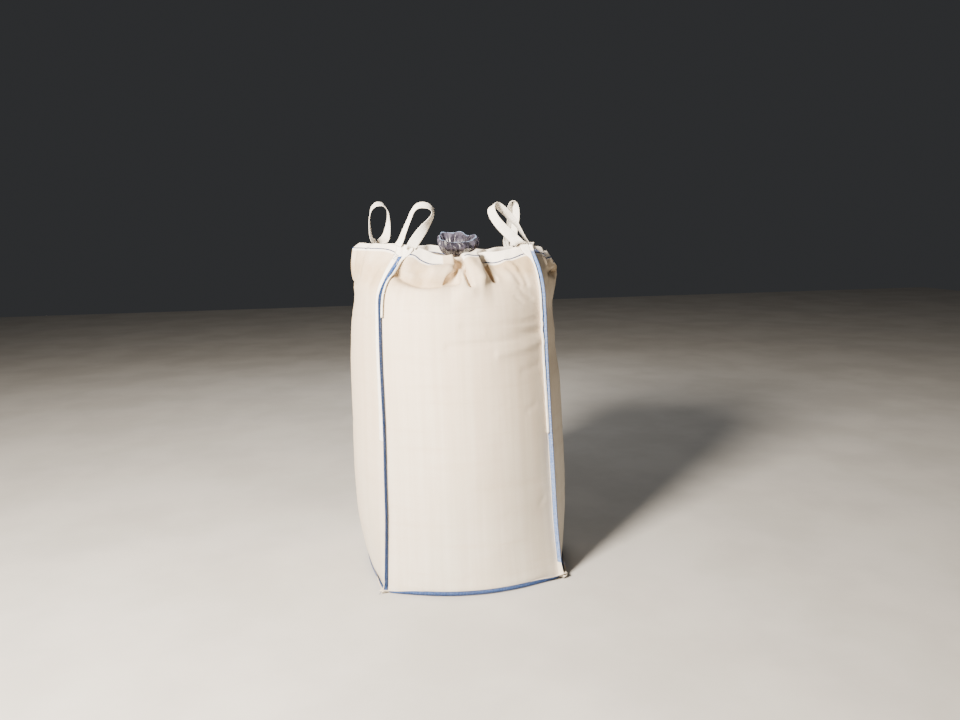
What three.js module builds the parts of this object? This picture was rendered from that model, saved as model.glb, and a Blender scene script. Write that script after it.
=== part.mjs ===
// A filled bulk bag standing on its base: four side panels of woven cloth and a base panel, sewn
// at the corners and round the base with bound seams, four webbing lifting loops, a clear film
// liner whose tied neck stands on the top, and the fill inside.
// Millimetres, +Z up. The origin is the centre of the base on the floor, and -Y is the front.

import * as THREE from 'three';
import { LoftGeometry } from 'three/addons/geometries/LoftGeometry.js';

// Driving dimensions.
const CLOTH = 1.2; // thickness of the woven cloth as a solid
const SEAT = 0.4; // gap between two pieces that are sewn or lie together
const FILL_INSET = 3; // from a panel's outer face to the fill
const WEBBING_WIDTH = 48;
const WEBBING_THICKNESS = 2.4;
const LEG_WIDTH = 30; // the webbing is folded lengthwise where it is sewn down
const FIN_WIDTH = 18; // how far a corner seam stands out
const FIN_THICKNESS = 3;
const FLANGE = 20; // the base panel's turned-out edge
const BASE_SEAM_WIDTH = 14;
const BASE_SEAM_THICKNESS = 4.5;
const BASE_SEAM_TILT = 60; // degrees that the seam's outer edge is turned up
const BASE_SEAM_REACH = 0.985; // share of a side that its base seam runs along
const FROM_FOOT = 3; // between the panel's foot and the base seam
const LEG_INSET = 7; // from a corner to the near edge of a loop's leg
const LEG_GAP = 0.7; // between a leg and the panel, wider over the bag's shoulder
const LEG_GAP_AT_HEM = 2.5;
const LONG_LEG_END = 730; // height where the long leg's sewing ends
const SHORT_LEG_END = 1320;
const PAST_HEM = 14; // how far a loop runs on straight above the hem
const NECK_RADIUS = 36;
const NECK_HEIGHT = 1568; // where the liner is tied
const TIE_HEIGHT = 16;
const TIE_THICKNESS = 4;

// The bag's shape from the floor to the hem, before its top opens. Each station is the height of
// the corner, half of the width between two corners, and how far a panel stands out at its middle.
const STATIONS = [
	[ 1.7, 438, 80 ],
	[ 70, 434, 98 ],
	[ 250, 422, 131 ],
	[ 520, 409, 148 ],
	[ 840, 399, 151 ],
	[ 1130, 391, 149 ],
	[ 1320, 388, 136 ],
	[ 1425, 384, 100 ],
	[ 1495, 366, 52 ],
	[ 1555, 340, - 2 ],
	[ 1612, 312, - 52 ]
];
const ROWS_PER_STATION = 2;
const ROWS = ( STATIONS.length - 1 ) * ROWS_PER_STATION;
const COLUMNS = 20; // across one panel
const FILL_TOP_ROW = 14; // the last row that the fill reaches
const LEG_OPENS_ROW = 18; // from here to the hem a leg unfolds to the full webbing
const LEG_OPEN_ROW = 20;
const FOOT_ROWS = 5; // the rows over which a side's foot differs from the stations
const FIRST_OPEN_ROW = 12; // where the four sides begin to open
const LEG_EDGE = 0.8; // the gathers stay between the loops' legs

// How much further than the stations the middle of each side stands out at its foot and at its
// top edge, how far the top edge sags there, and the depth and start of its gathers.
const SIDES = [
	{ name: 'front', foot: 28, open: 0, sag: 54, folds: 30, phase: 0 },
	{ name: 'right', foot: 4, open: 190, sag: 78, folds: 22, phase: 1.1 },
	{ name: 'back', foot: 10, open: 40, sag: 50, folds: 26, phase: 2.2 },
	{ name: 'left', foot: - 14, open: 150, sag: - 30, folds: 12, phase: 3.3 }
];

// The corner at the right edge of each side, seen from outside, and how much further from the
// axis than the stations its top stands, on X and on Y alike.
const CORNERS = [
	{ name: 'front_right', open: 9 },
	{ name: 'back_right', open: 38 },
	{ name: 'back_left', open: 78 },
	{ name: 'front_left', open: - 5 }
];

const BACK_FACE = 5; // the place of a box's -Z face among its groups
const UP = new THREE.Vector3( 0, 0, 1 );
const OUT_AT_CORNER = new THREE.Vector3( 1, - 1, 0 ).normalize();
const ACROSS_CORNER = new THREE.Vector3( 1, 1, 0 ).normalize();

const cloth = new THREE.MeshStandardMaterial( { color: 0xe9e4d8, roughness: 0.7, metalness: 0 } );
const webbing = new THREE.MeshStandardMaterial( { color: 0xf0ece1, roughness: 0.75, metalness: 0 } );
const thread = new THREE.MeshStandardMaterial( { color: 0x4a6fb0, roughness: 0.8, metalness: 0 } );
const film = new THREE.MeshStandardMaterial( { color: 0xb9bfc9, roughness: 0.3, metalness: 0 } );
const grain = new THREE.MeshStandardMaterial( { color: 0x8a6b42, roughness: 0.95, metalness: 0 } );

const bag = new THREE.Group();

function addMesh( name, geometry, material, quarterTurns = 0 ) {

	const mesh = new THREE.Mesh( geometry, material );
	mesh.name = name;
	mesh.rotation.z = quarterTurns * Math.PI / 2;
	bag.add( mesh );

}

// Each side is worked out as if it were the front one, and its meshes are turned into place.

const profile = new THREE.CatmullRomCurve3(
	STATIONS.map( ( [ height, half, bulge ] ) => new THREE.Vector3( half, bulge, height ) ), false, 'centripetal'
);

// A share from 0 at a to 1 at b, with soft ends.
function ease( value, a, b ) {

	return THREE.MathUtils.smoothstep( value, a, b );

}

// The bag at a row of the cloth, from 0 at the foot to ROWS at the hem: the height, and the half
// width at the left and right corner and the bulge of one side.
function station( side, row ) {

	const { x: half, y: bulge, z: height } = profile.getPoint( row / ROWS );
	const opening = ease( row, FIRST_OPEN_ROW, ROWS );
	const foot = 1 - ease( row, 0, FOOT_ROWS );
	return {
		height,
		left: half + CORNERS[ ( side + 3 ) % 4 ].open * opening,
		right: half + CORNERS[ side ].open * opening,
		bulge: bulge + SIDES[ side ].open * opening + SIDES[ side ].foot * foot
	};

}

// The gathers of the top edge: how far the cloth stands in or out of its smooth shape.
function gather( side, across, row ) {

	const growth = ease( row, FILL_TOP_ROW, ROWS );
	const between = 1 - ease( Math.abs( across ), 0.45, LEG_EDGE );
	return SIDES[ side ].folds * growth * between * Math.cos( 3.2 * Math.PI * across + SIDES[ side ].phase );

}

// A point on the outer face of a side. across runs from -1 to 1 between its corners.
function onPanel( side, across, row, folded = false ) {

	const { left, right, bulge, height } = station( side, row );
	const share = ( 1 + across ) / 2;
	const crown = 1 - across * across;
	const sag = SIDES[ side ].sag * crown * ease( row, FILL_TOP_ROW, ROWS );
	const fold = folded ? gather( side, across, row ) : 0;
	return new THREE.Vector3(
		THREE.MathUtils.lerp( - left, right, share ),
		- THREE.MathUtils.lerp( left, right, share ) - bulge * crown - fold,
		height - sag
	);

}

function outward( side, across, row, folded = false ) {

	const step = 0.02;
	const sideways = onPanel( side, across + step, row, folded ).sub( onPanel( side, across - step, row, folded ) );
	const low = Math.max( row - step, 0 );
	const high = Math.min( row + step, ROWS );
	const upwards = onPanel( side, across, high, folded ).sub( onPanel( side, across, low, folded ) );
	return sideways.cross( upwards ).normalize();

}

// Where along a row a panel's cut edge lies, so that it meets the seam at that corner.
function edgeShare( side, row, end ) {

	const { left, right, bulge } = station( side, row );
	const fromSeam = FIN_THICKNESS / 2 + SEAT;
	const slope = ( end < 0 ? right : left ) + 2 * bulge;
	return 1 - Math.SQRT2 * fromSeam / slope;

}

// A thin closed sheet with columns and rows. place gives each corner's point from its share of the
// width, -1 to 1, its row, and whether it is on the back face.
function bentSheet( columns, rows, place ) {

	const sheet = new THREE.BoxGeometry( 2, rows, 1, columns, rows, 1 );
	const position = sheet.getAttribute( 'position' );
	for ( let i = 0; i < position.count; i ++ ) {

		const row = Math.round( position.getY( i ) + rows / 2 );
		const point = place( position.getX( i ), row, position.getZ( i ) < 0 );
		position.setXYZ( i, point.x, point.y, point.z );

	}

	// Both faces are split along the same diagonals, so that a twisted sheet doesn't cut itself.
	const corners = sheet.index.array;
	const { start, count } = sheet.groups[ BACK_FACE ];
	for ( let i = start; i < start + count; i += 6 ) {

		const [ a, b, d, , c ] = corners.subarray( i, i + 6 );
		corners.set( [ a, b, c, a, c, d ], i );

	}

	sheet.computeVertexNormals();
	return sheet;

}

// One side panel, bent onto the shape of the bag. Its cut edges lie along the corner seams.
function panelGeometry( side ) {

	return bentSheet( COLUMNS, ROWS, ( share, row, isBack ) => {

		const across = share * edgeShare( side, row, Math.sign( share ) );
		const point = onPanel( side, across, row, true );
		if ( ! isBack ) return point;
		const inward = Math.abs( share ) > 0.999
			? new THREE.Vector3( - Math.sign( share ), 1, 0 ).normalize()
			: outward( side, across, row, true ).negate();
		return point.addScaledVector( inward, CLOTH );

	} );

}

// A closed ring round the bag at one row, drawn in by a distance. Its points start at the front
// left corner and go round towards +X.
function ringInside( row, distance, columns = COLUMNS / 2 ) {

	const ring = [];
	for ( let side = 0; side < 4; side ++ ) {

		for ( let i = 0; i < columns; i ++ ) {

			const across = - 1 + 2 * i / columns;
			const point = onPanel( side, across, row );
			const inward = i === 0
				? ACROSS_CORNER.clone().multiplyScalar( 1.2 )
				: outward( side, across, row ).setZ( 0 ).normalize().negate();
			point.addScaledVector( inward, distance );
			point.z = station( side, row ).height;
			ring.push( point.applyAxisAngle( UP, side * Math.PI / 2 ) );

		}

	}

	return ring;

}

// A ring shrunk towards the bag's axis and set at a height.
function shrunk( ring, share, height ) {

	return ring.map( ( point ) => new THREE.Vector3( point.x * share, point.y * share, height ) );

}

const shoulderRing = ringInside( FILL_TOP_ROW, FILL_INSET );
const shoulderHeight = station( 0, FILL_TOP_ROW ).height;

// The fill is heaped up above the shoulder. Each ring of the heap is a share of the shoulder's
// ring and how far it stands above it.
const HEAP = [ [ 0.96, 2 ], [ 0.86, 12 ], [ 0.7, 26 ], [ 0.5, 38 ], [ 0.28, 46 ], [ 0.1, 49 ] ];
const HEAP_TOP = HEAP.at( - 1 )[ 1 ];
const UNDER_FILM = 0.2; // how much further than its middle the liner's underside stands off the heap

function heapRings( lift ) {

	return HEAP.map( ( [ share, rise ] ) => shrunk( shoulderRing, share, shoulderHeight + rise + lift ) );

}

function fillGeometry() {

	const rings = [];
	for ( let row = 0; row <= FILL_TOP_ROW; row ++ ) rings.push( ringInside( row, FILL_INSET ) );
	return new LoftGeometry( [ ...rings, ...heapRings( 0 ) ], { capStart: true, capEnd: true } );

}

// The base cloth, with its turned-out flange.
function baseGeometry() {

	const outline = ringInside( 0, - FLANGE ).map( ( { x, y } ) => new THREE.Vector2( x, y ) );
	return new THREE.ExtrudeGeometry( new THREE.Shape( outline ), { depth: CLOTH, bevelEnabled: false } );

}

// A strip of oblong section through a list of rows, each a centre, a width and a thickness with
// their directions. The rows run so that wide x thick points along the strip.
function strip( rows ) {

	return bentSheet( 1, rows.length - 1, ( share, row, isBack ) => {

		const { centre, wide, thick, width, thickness } = rows[ row ];
		return centre.clone()
			.addScaledVector( wide, share * width / 2 )
			.addScaledVector( thick, ( isBack ? 1 : - 1 ) * thickness / 2 );

	} );

}

// A corner seam: the panels' edges turned out together and bound with thread.
function cornerSeamGeometry( corner ) {

	const rows = [];
	for ( let row = 0; row <= ROWS; row ++ ) {

		const centre = onPanel( corner, 1, row ).addScaledVector( OUT_AT_CORNER, FIN_WIDTH / 2 - 1 );
		rows.push( { centre, wide: OUT_AT_CORNER, thick: ACROSS_CORNER, width: FIN_WIDTH, thickness: FIN_THICKNESS } );

	}

	return strip( rows );

}

// A base seam: the panel's foot and the base panel's edge bound together, along the floor edge.
function baseSeamGeometry( side ) {

	const rows = [];
	const tilt = THREE.MathUtils.degToRad( BASE_SEAM_TILT );
	const halfDepth = ( BASE_SEAM_WIDTH * Math.cos( tilt ) + BASE_SEAM_THICKNESS * Math.sin( tilt ) ) / 2;
	const halfHeight = ( BASE_SEAM_WIDTH * Math.sin( tilt ) + BASE_SEAM_THICKNESS * Math.cos( tilt ) ) / 2;
	for ( let i = 0; i <= COLUMNS; i ++ ) {

		const across = ( - 1 + 2 * i / COLUMNS ) * BASE_SEAM_REACH;
		const out = outward( side, across, 0 ).setZ( 0 ).normalize();
		const centre = onPanel( side, across, 0 ).addScaledVector( out, FROM_FOOT + halfDepth );
		centre.z = CLOTH + SEAT + halfHeight;
		const thick = out.clone().multiplyScalar( Math.cos( tilt ) ).addScaledVector( UP, Math.sin( tilt ) );
		const wide = UP.clone().multiplyScalar( Math.cos( tilt ) ).addScaledVector( out, - Math.sin( tilt ) );
		rows.push( { centre, wide, thick, width: BASE_SEAM_THICKNESS, thickness: BASE_SEAM_WIDTH } );

	}

	return strip( rows );

}

// A lifting loop is one strap. It runs up the panel on one side of a corner, over its crown in
// the air and down the panel on the other side. It is drawn at the front right corner: the first
// leg is on the right panel and the second on the front panel.

// The row of the cloth at a height, found by halving.
function rowAtHeight( height ) {

	let low = 0;
	let high = ROWS;
	for ( let i = 0; i < 40; i ++ ) {

		const middle = ( low + high ) / 2;
		if ( station( 0, middle ).height < height ) low = middle;
		else high = middle;

	}

	return low;

}

// The rows of one leg of a loop. end is -1 for the leg at a side's left edge, which runs up from
// its sewn end to the hem, and 1 for the right edge, which runs down.
function legRows( side, end, endHeight ) {

	const first = rowAtHeight( endHeight );
	const at = [ first ];
	for ( let row = Math.floor( first ) + 1; row <= ROWS; row ++ ) if ( row - first > 0.2 ) at.push( row );
	if ( end > 0 ) at.reverse();
	const rows = at.map( ( row ) => {

		const { left, right } = station( side, row );
		const opened = ease( row, LEG_OPENS_ROW, LEG_OPEN_ROW );
		const width = THREE.MathUtils.lerp( LEG_WIDTH, WEBBING_WIDTH, opened );
		const thickness = THREE.MathUtils.lerp( 2 * WEBBING_THICKNESS, WEBBING_THICKNESS, opened );
		const across = end * ( 1 - ( 2 * LEG_INSET + width ) / ( left + right ) );
		const out = outward( side, across, row );
		const step = - end * 0.02;
		const wide = onPanel( side, across + step, row ).sub( onPanel( side, across - step, row ) ).normalize();
		const gap = THREE.MathUtils.lerp( LEG_GAP, LEG_GAP_AT_HEM, ease( row, 9, 14 ) );
		const centre = onPanel( side, across, row ).addScaledVector( out, gap + thickness / 2 );
		return { centre, wide, thick: out.negate(), width, thickness };

	} );

	// The strap runs straight on past the hem before it bends.
	const last = end > 0 ? rows[ 0 ] : rows.at( - 1 );
	const along = last.wide.clone().cross( last.thick );
	const beyond = { ...last, centre: last.centre.clone().addScaledVector( along, - end * PAST_HEM ) };
	return end > 0 ? [ beyond, ...rows ] : [ ...rows, beyond ];

}

function turnedRow( row, quarterTurns ) {

	const turn = ( vector ) => vector.clone().applyAxisAngle( UP, quarterTurns * Math.PI / 2 );
	return { ...row, centre: turn( row.centre ), wide: turn( row.wide ), thick: turn( row.thick ) };

}

// The free part of a loop: how far along its reach each point lies, and how far to the side.
const LOOP_OUTLINE = [ [ 0.12, - 24 ], [ 0.3, - 33 ], [ 0.55, - 46 ], [ 0.78, - 50 ], [ 0.93, - 38 ], [ 1, - 14 ] ];
const LOOP_STEPS = 22;

function loopGeometry( corner, reach, twist ) {

	const first = legRows( ( corner + 1 ) % 4, - 1, SHORT_LEG_END ).map( ( row ) => turnedRow( row, 1 ) );
	const second = legRows( corner, 1, LONG_LEG_END );
	const start = first.at( - 1 );
	const end = second[ 0 ];
	const foot = start.centre.clone().add( end.centre ).multiplyScalar( 0.5 );
	const sideways = end.centre.clone().sub( start.centre ).setZ( 0 ).normalize();

	// The crown is laid out as one smooth curve from the first leg's top to the second's.
	const rising = new THREE.Vector3( 0, 0, 14 );
	const outline = [ ...LOOP_OUTLINE, ...LOOP_OUTLINE.map( ( [ along, side ] ) => [ along, - side ] ).reverse() ];
	const crownPoints = outline.map( ( [ along, side ] ) => {

		const bent = new THREE.Vector3( reach.x * along ** 1.1, reach.y * along ** 1.1, reach.z * along );
		const aside = sideways.clone().multiplyScalar( side ).applyAxisAngle( UP, twist * along );
		return foot.clone().add( rising ).add( bent ).add( aside );

	} );
	const curve = new THREE.CatmullRomCurve3( [ start.centre, ...crownPoints, end.centre ], false, 'centripetal' );
	const crown = [];
	for ( let i = 1; i < LOOP_STEPS; i ++ ) {

		const share = i / LOOP_STEPS;
		const along = curve.getTangentAt( share );
		const blended = start.wide.clone().lerp( end.wide, ease( share, 0.05, 0.95 ) );
		blended.applyAxisAngle( UP, twist * Math.sin( Math.PI * share ) );
		const wide = blended.addScaledVector( along, - blended.dot( along ) ).normalize();
		crown.push( { ...start, centre: curve.getPointAt( share ), wide, thick: along.clone().cross( wide ) } );

	}

	return strip( [ ...first, ...crown, ...second ] );

}

// How far each loop's crown stands from its corner in the bag's own frame, and how many degrees
// the loop has turned on itself by then.
const LOOPS = [
	{ corner: 0, reach: new THREE.Vector3( - 150, 20, 200 ), twist: 0 },
	{ corner: 1, reach: new THREE.Vector3( 6, - 30, 230 ), twist: - 45 },
	{ corner: 2, reach: new THREE.Vector3( - 6, - 60, 215 ), twist: 0 },
	{ corner: 3, reach: new THREE.Vector3( 136, 60, 202 ), twist: 0 }
];

function addLoops() {

	for ( const { corner, reach, twist } of LOOPS ) {

		const ownReach = reach.clone().applyAxisAngle( UP, - corner * Math.PI / 2 );
		const geometry = loopGeometry( corner, ownReach, THREE.MathUtils.degToRad( twist ) );
		addMesh( 'lift_loop_' + CORNERS[ corner ].name, geometry, webbing, corner );

	}

}

// The liner lies on the heap, draws in to its neck, and opens above the tie, where its gathered
// end flops to the side. Under the film it is solid down to the heap.
function linerGeometry() {

	const directions = shoulderRing.map( ( { x, y } ) => Math.atan2( y, x ) );
	const oval = ( wide, deep, rise, aside = 0 ) => directions.map( ( angle ) => new THREE.Vector3(
		Math.cos( angle ) * wide + aside, Math.sin( angle ) * deep, NECK_HEIGHT + rise
	) );
	const overFill = ( share, rise ) => shrunk( shoulderRing, share, shoulderHeight + rise );
	return new LoftGeometry( [
		overFill( 0.06, HEAP_TOP + SEAT ),
		...heapRings( SEAT + UNDER_FILM ).reverse(),
		overFill( 0.95, 8 ),
		overFill( 0.86, 19 ),
		overFill( 0.68, 35 ),
		overFill( 0.4, 56 ),
		oval( 92, 92, - 44 ),
		oval( 50, 50, - 22 ),
		oval( NECK_RADIUS, NECK_RADIUS, - TIE_HEIGHT / 2 ),
		oval( NECK_RADIUS, NECK_RADIUS, TIE_HEIGHT / 2 ),
		oval( 76, 50, 34, 4 ),
		oval( 108, 60, 66, 10 ),
		oval( 112, 62, 92, 16 ),
		oval( 92, 48, 116, 20 ),
		oval( 52, 22, 128, 22 )
	], { capStart: true, capEnd: true } );

}

// The tape tied round the liner's neck.
function tieGeometry() {

	const inner = NECK_RADIUS + SEAT;
	const outer = inner + TIE_THICKNESS;
	const half = TIE_HEIGHT / 2 - 1;
	const section = [ [ inner, - half ], [ outer, - half ], [ outer, half ], [ inner, half ], [ inner, - half ] ];
	const ring = new THREE.LatheGeometry( section.map( ( [ r, y ] ) => new THREE.Vector2( r, y ) ), 40 );
	ring.rotateX( Math.PI / 2 );
	ring.translate( 0, 0, NECK_HEIGHT );
	return ring;

}

addMesh( 'fill', fillGeometry(), grain );
addMesh( 'base_panel', baseGeometry(), cloth );
SIDES.forEach( ( { name }, side ) => {

	addMesh( name + '_panel', panelGeometry( side ), cloth, side );
	addMesh( 'base_seam_' + name, baseSeamGeometry( side ), thread, side );

} );
CORNERS.forEach( ( { name }, corner ) => {

	addMesh( 'corner_seam_' + name, cornerSeamGeometry( corner ), thread, corner );

} );
addLoops();
addMesh( 'liner', linerGeometry(), film );
addMesh( 'liner_tie', tieGeometry(), webbing );

export default bag;
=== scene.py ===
# A filled bulk bag: four panels of woven cloth with turned-out seams, blue overlock thread, four
# webbing lifting loops, a film liner with a tied neck, and the grain under it.
# Metres, +Z up, origin at the centre of the base on the floor, front towards -Y.

import math

import bmesh
import bpy
import numpy as np
from mathutils import Matrix, Vector, noise


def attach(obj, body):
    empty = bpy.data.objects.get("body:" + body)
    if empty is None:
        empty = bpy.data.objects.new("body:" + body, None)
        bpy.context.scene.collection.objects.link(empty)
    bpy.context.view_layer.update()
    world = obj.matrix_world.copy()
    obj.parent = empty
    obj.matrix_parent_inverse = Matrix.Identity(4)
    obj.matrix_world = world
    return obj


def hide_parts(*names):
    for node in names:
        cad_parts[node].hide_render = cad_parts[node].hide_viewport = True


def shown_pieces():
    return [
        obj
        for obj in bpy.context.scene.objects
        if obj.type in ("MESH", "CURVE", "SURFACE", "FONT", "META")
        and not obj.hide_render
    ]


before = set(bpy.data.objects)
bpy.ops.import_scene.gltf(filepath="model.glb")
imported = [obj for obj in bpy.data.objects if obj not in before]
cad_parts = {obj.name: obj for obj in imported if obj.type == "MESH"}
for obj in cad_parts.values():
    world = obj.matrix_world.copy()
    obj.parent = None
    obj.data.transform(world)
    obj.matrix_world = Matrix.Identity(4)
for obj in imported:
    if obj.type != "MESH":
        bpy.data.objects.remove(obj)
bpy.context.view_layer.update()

# Sizes of the bag, as its source has them.
STATIONS = np.array([  # half width, bulge of a panel, height, from the foot to the hem
    (0.438, 0.080, 0.0017),
    (0.434, 0.098, 0.070),
    (0.422, 0.131, 0.250),
    (0.409, 0.148, 0.520),
    (0.399, 0.151, 0.840),
    (0.391, 0.149, 1.130),
    (0.388, 0.136, 1.320),
    (0.384, 0.100, 1.425),
    (0.366, 0.052, 1.495),
    (0.340, -0.002, 1.555),
    (0.312, -0.052, 1.612),
])
# A row is how far up a side a place is, from 0 at the foot to ROWS at the top edge.
ROWS = 20.0
STATION_ROWS = np.linspace(0, ROWS, len(STATIONS))
FIRST_OPEN_ROW = 12.0  # above it a side and its corner open outwards
FILL_TOP_ROW = 14.0    # above it a side's middle sags
FOOT_FADE = 5.0        # below it a side's middle stands out with its foot
SIDES = ("front", "right", "back", "left")
CORNERS = ("front_right", "back_right", "back_left", "front_left")
SIDE_OPEN = (0.0, 0.190, 0.040, 0.150)
SIDE_SAG = (0.054, 0.078, 0.050, -0.030)
SIDE_FOOT = (0.036, 0.004, 0.010, -0.014)
CORNER_OPEN = (0.009, 0.038, 0.078, -0.005)
WEBBING = 0.048
WEBBING_THICKNESS = 0.0022
LONG_LEG_END = 0.730
SHORT_LEG_END = 1.320
NECK_HEIGHT = 1.568

# Sizes of the cloth and its sewing.
CUT_WIDTH = 0.900
CLOTH = 0.0009         # thickness
MEAN_BULGE = 0.6       # of a side's bulge, at which the cloth's length is measured
FIN = 0.024            # allowance turned out at a corner
FOOT_FIN = 0.027       # allowance turned out at the foot
HEM = 0.052            # depth of the folded hem
HEM_STITCH = 0.045     # from the top edge down to the hem's stitches
FIN_HALF_GAP = 0.0011  # from the middle of a seam to the outer face of a layer
PITCH = 0.0046         # of the overlock stitches
THREAD = 0.0010        # radius


def ease(x, a, b):
    """A share from 0 at a to 1 at b with soft ends."""
    t = np.clip((np.asarray(x, float) - a) / (b - a), 0.0, 1.0)
    return t * t * (3.0 - 2.0 * t)


def unit(v):
    return v / np.maximum(np.linalg.norm(v, axis=-1, keepdims=True), 1e-12)


def together(across, row):
    """Both as arrays of numbers, of one shape."""
    return np.broadcast_arrays(np.asarray(across, float), np.asarray(row, float))


def run_along(points):
    """The way along points from the first one to each."""
    return np.concatenate([[0.0], np.cumsum(np.linalg.norm(np.diff(points, axis=0), axis=1))])


def read_table(at, run, table):
    """A table's columns at places between its rows, which stand at run."""
    return np.stack([np.interp(at, run, column) for column in table.T], axis=-1)


def square_to(direction, other):
    """The part of a direction that is square to the other one, as a unit."""
    return unit(direction - other * np.sum(direction * other, axis=1, keepdims=True))


def smooth_curve(points):
    """A centripetal Catmull-Rom curve through points, as a function of a share from 0 to 1."""
    points = np.asarray(points, float)
    ends = 2 * points[0] - points[1], 2 * points[-1] - points[-2]
    padded = np.vstack([ends[0], points, ends[1]])
    gaps = np.linalg.norm(np.diff(padded, axis=0), axis=1)[:, None] ** 0.5
    d0, d1, d2 = gaps[:-2], gaps[1:-1], gaps[2:]
    p0, p1, p2, p3 = padded[:-3], padded[1:-2], padded[2:-1], padded[3:]
    t1 = ((p1 - p0) / d0 - (p2 - p0) / (d0 + d1) + (p2 - p1) / d1) * d1
    t2 = ((p2 - p1) / d1 - (p3 - p1) / (d1 + d2) + (p3 - p2) / d2) * d1

    def at(share):
        place = np.clip(np.asarray(share, float), 0.0, 1.0) * (len(points) - 1)
        i = np.minimum(place.astype(int), len(points) - 2)
        w = (place - i)[..., None]
        square = w * w * (3 - 2 * w)
        return p1[i] + (p2[i] - p1[i]) * square + t1[i] * w * (1 - w) ** 2 - t2[i] * w * w * (1 - w)

    return at


def by_length(curve, steps=400):
    """The same curve, as a function of a share of its length, and its length. Only its first three
    numbers count for the length."""
    shares = np.linspace(0, 1, steps + 1)
    run = run_along(curve(shares)[:, :3])
    return lambda share: curve(np.interp(np.asarray(share, float) * run[-1], run, shares)), run[-1]


def turned(points, quarters):
    """Points turned about Z by quarter turns."""
    x, y, z = np.moveaxis(np.asarray(points, float), -1, 0)
    for _ in range(quarters % 4):
        x, y = -y, x
    return np.stack([x, y, z], axis=-1)


bag_profile = smooth_curve(STATIONS)

# How far each front corner's line stands from the profile, to the left or right, from the foot to
# the hem, and how far the front corners' feet stand forward.
CORNER_BEND = smooth_curve(np.array([
    (-0.014, 0.0, 0.0, -0.016), (-0.016, 0.0, 0.0, -0.015), (-0.018, 0.0, 0.0, -0.009),
    (-0.018, 0.0, 0.0, -0.002), (-0.024, 0.0, 0.0, 0.004), (-0.030, 0.0, 0.0, 0.0125),
    (-0.034, 0.0, 0.0, 0.012), (-0.038, 0.0, 0.0, 0.009), (-0.034, 0.0, 0.0, -0.001),
    (-0.026, 0.0, 0.0, -0.013), (-0.018, 0.0, 0.0, -0.022),
]))
CORNER_FOOT = (0.013, 0.0, 0.0, 0.012)
# How much more the right side swells, at the same heights.
RIGHT_SWELL = (0.003, 0.006, 0.010, 0.009, 0.004, 0.0, 0.004, 0.020, 0.022, 0.012, 0.0)


def corner_place(corner, row):
    """How far a corner's line is from the bag's middle, across the bag and from front to back."""
    half = bag_profile(row / ROWS)[..., 0] + CORNER_OPEN[corner] * ease(row, FIRST_OPEN_ROW, ROWS)
    bend = CORNER_BEND(row / ROWS)[..., corner]
    return half + bend, half + CORNER_FOOT[corner] * (1 - ease(row, 0, FOOT_FADE))


def plain_side(side, across, row):
    """A point of the bag's smooth shape. Across runs from -1 to 1 between a side's corners."""
    across, row = together(across, row)
    _, bulge, height = np.moveaxis(bag_profile(row / ROWS), -1, 0)
    left, left_out = corner_place(side - 1, row)
    right, right_out = corner_place(side, row)
    if side % 2:
        left, left_out, right, right_out = left_out, left, right_out, right
    if side == 1:
        bulge = bulge + np.interp(row, STATION_ROWS, RIGHT_SWELL)
    opening = ease(row, FIRST_OPEN_ROW, ROWS)
    foot = SIDE_FOOT[side] * (1 - ease(row, 0, FOOT_FADE))
    bulge = bulge + SIDE_OPEN[side] * opening + foot
    crown = 1 - across ** 2
    share = (1 + across) / 2
    out = left_out + (right_out - left_out) * share + bulge * crown
    sag = SIDE_SAG[side] * crown * ease(row, FILL_TOP_ROW, ROWS)
    return np.stack([-left + (left + right) * share, -out, height - sag], axis=-1)


def height_table():
    """Rows and the length of cloth up to them, along the middle of a plain side."""
    rows = np.linspace(0, ROWS, 401)
    line = bag_profile(rows / ROWS)
    run = run_along(np.stack([line[:, 0] + MEAN_BULGE * line[:, 1], line[:, 2]], axis=-1))
    return rows, run, line[:, 2]


ROW_AT, LENGTH_AT, HEIGHT_AT = height_table()
SIDE_LENGTH = LENGTH_AT[-1]


def row_at_length(length):
    return np.interp(length, LENGTH_AT, ROW_AT)


def row_at_height(height):
    return np.interp(height, HEIGHT_AT, ROW_AT)


HEM_ROW = float(row_at_length(SIDE_LENGTH - HEM_STITCH))

# The top edge of each side from its left to its right corner, seen from outside, in millimetres:
# how far along the side, how far out from the bag's middle, and how high. The two numbers that may
# follow are how far out and how high the hem's stitches are below that place. A corner has its
# place on the bag, and that of the stitches below it.
CORNER_TOP = ((312, 300, 1634), (352, 352, 1612), (392, 392, 1634), (276, 296, 1634))
CORNER_HEM = ((322, 322, 1590), (366, 366, 1576), (408, 408, 1600), (284, 312, 1592))
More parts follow.
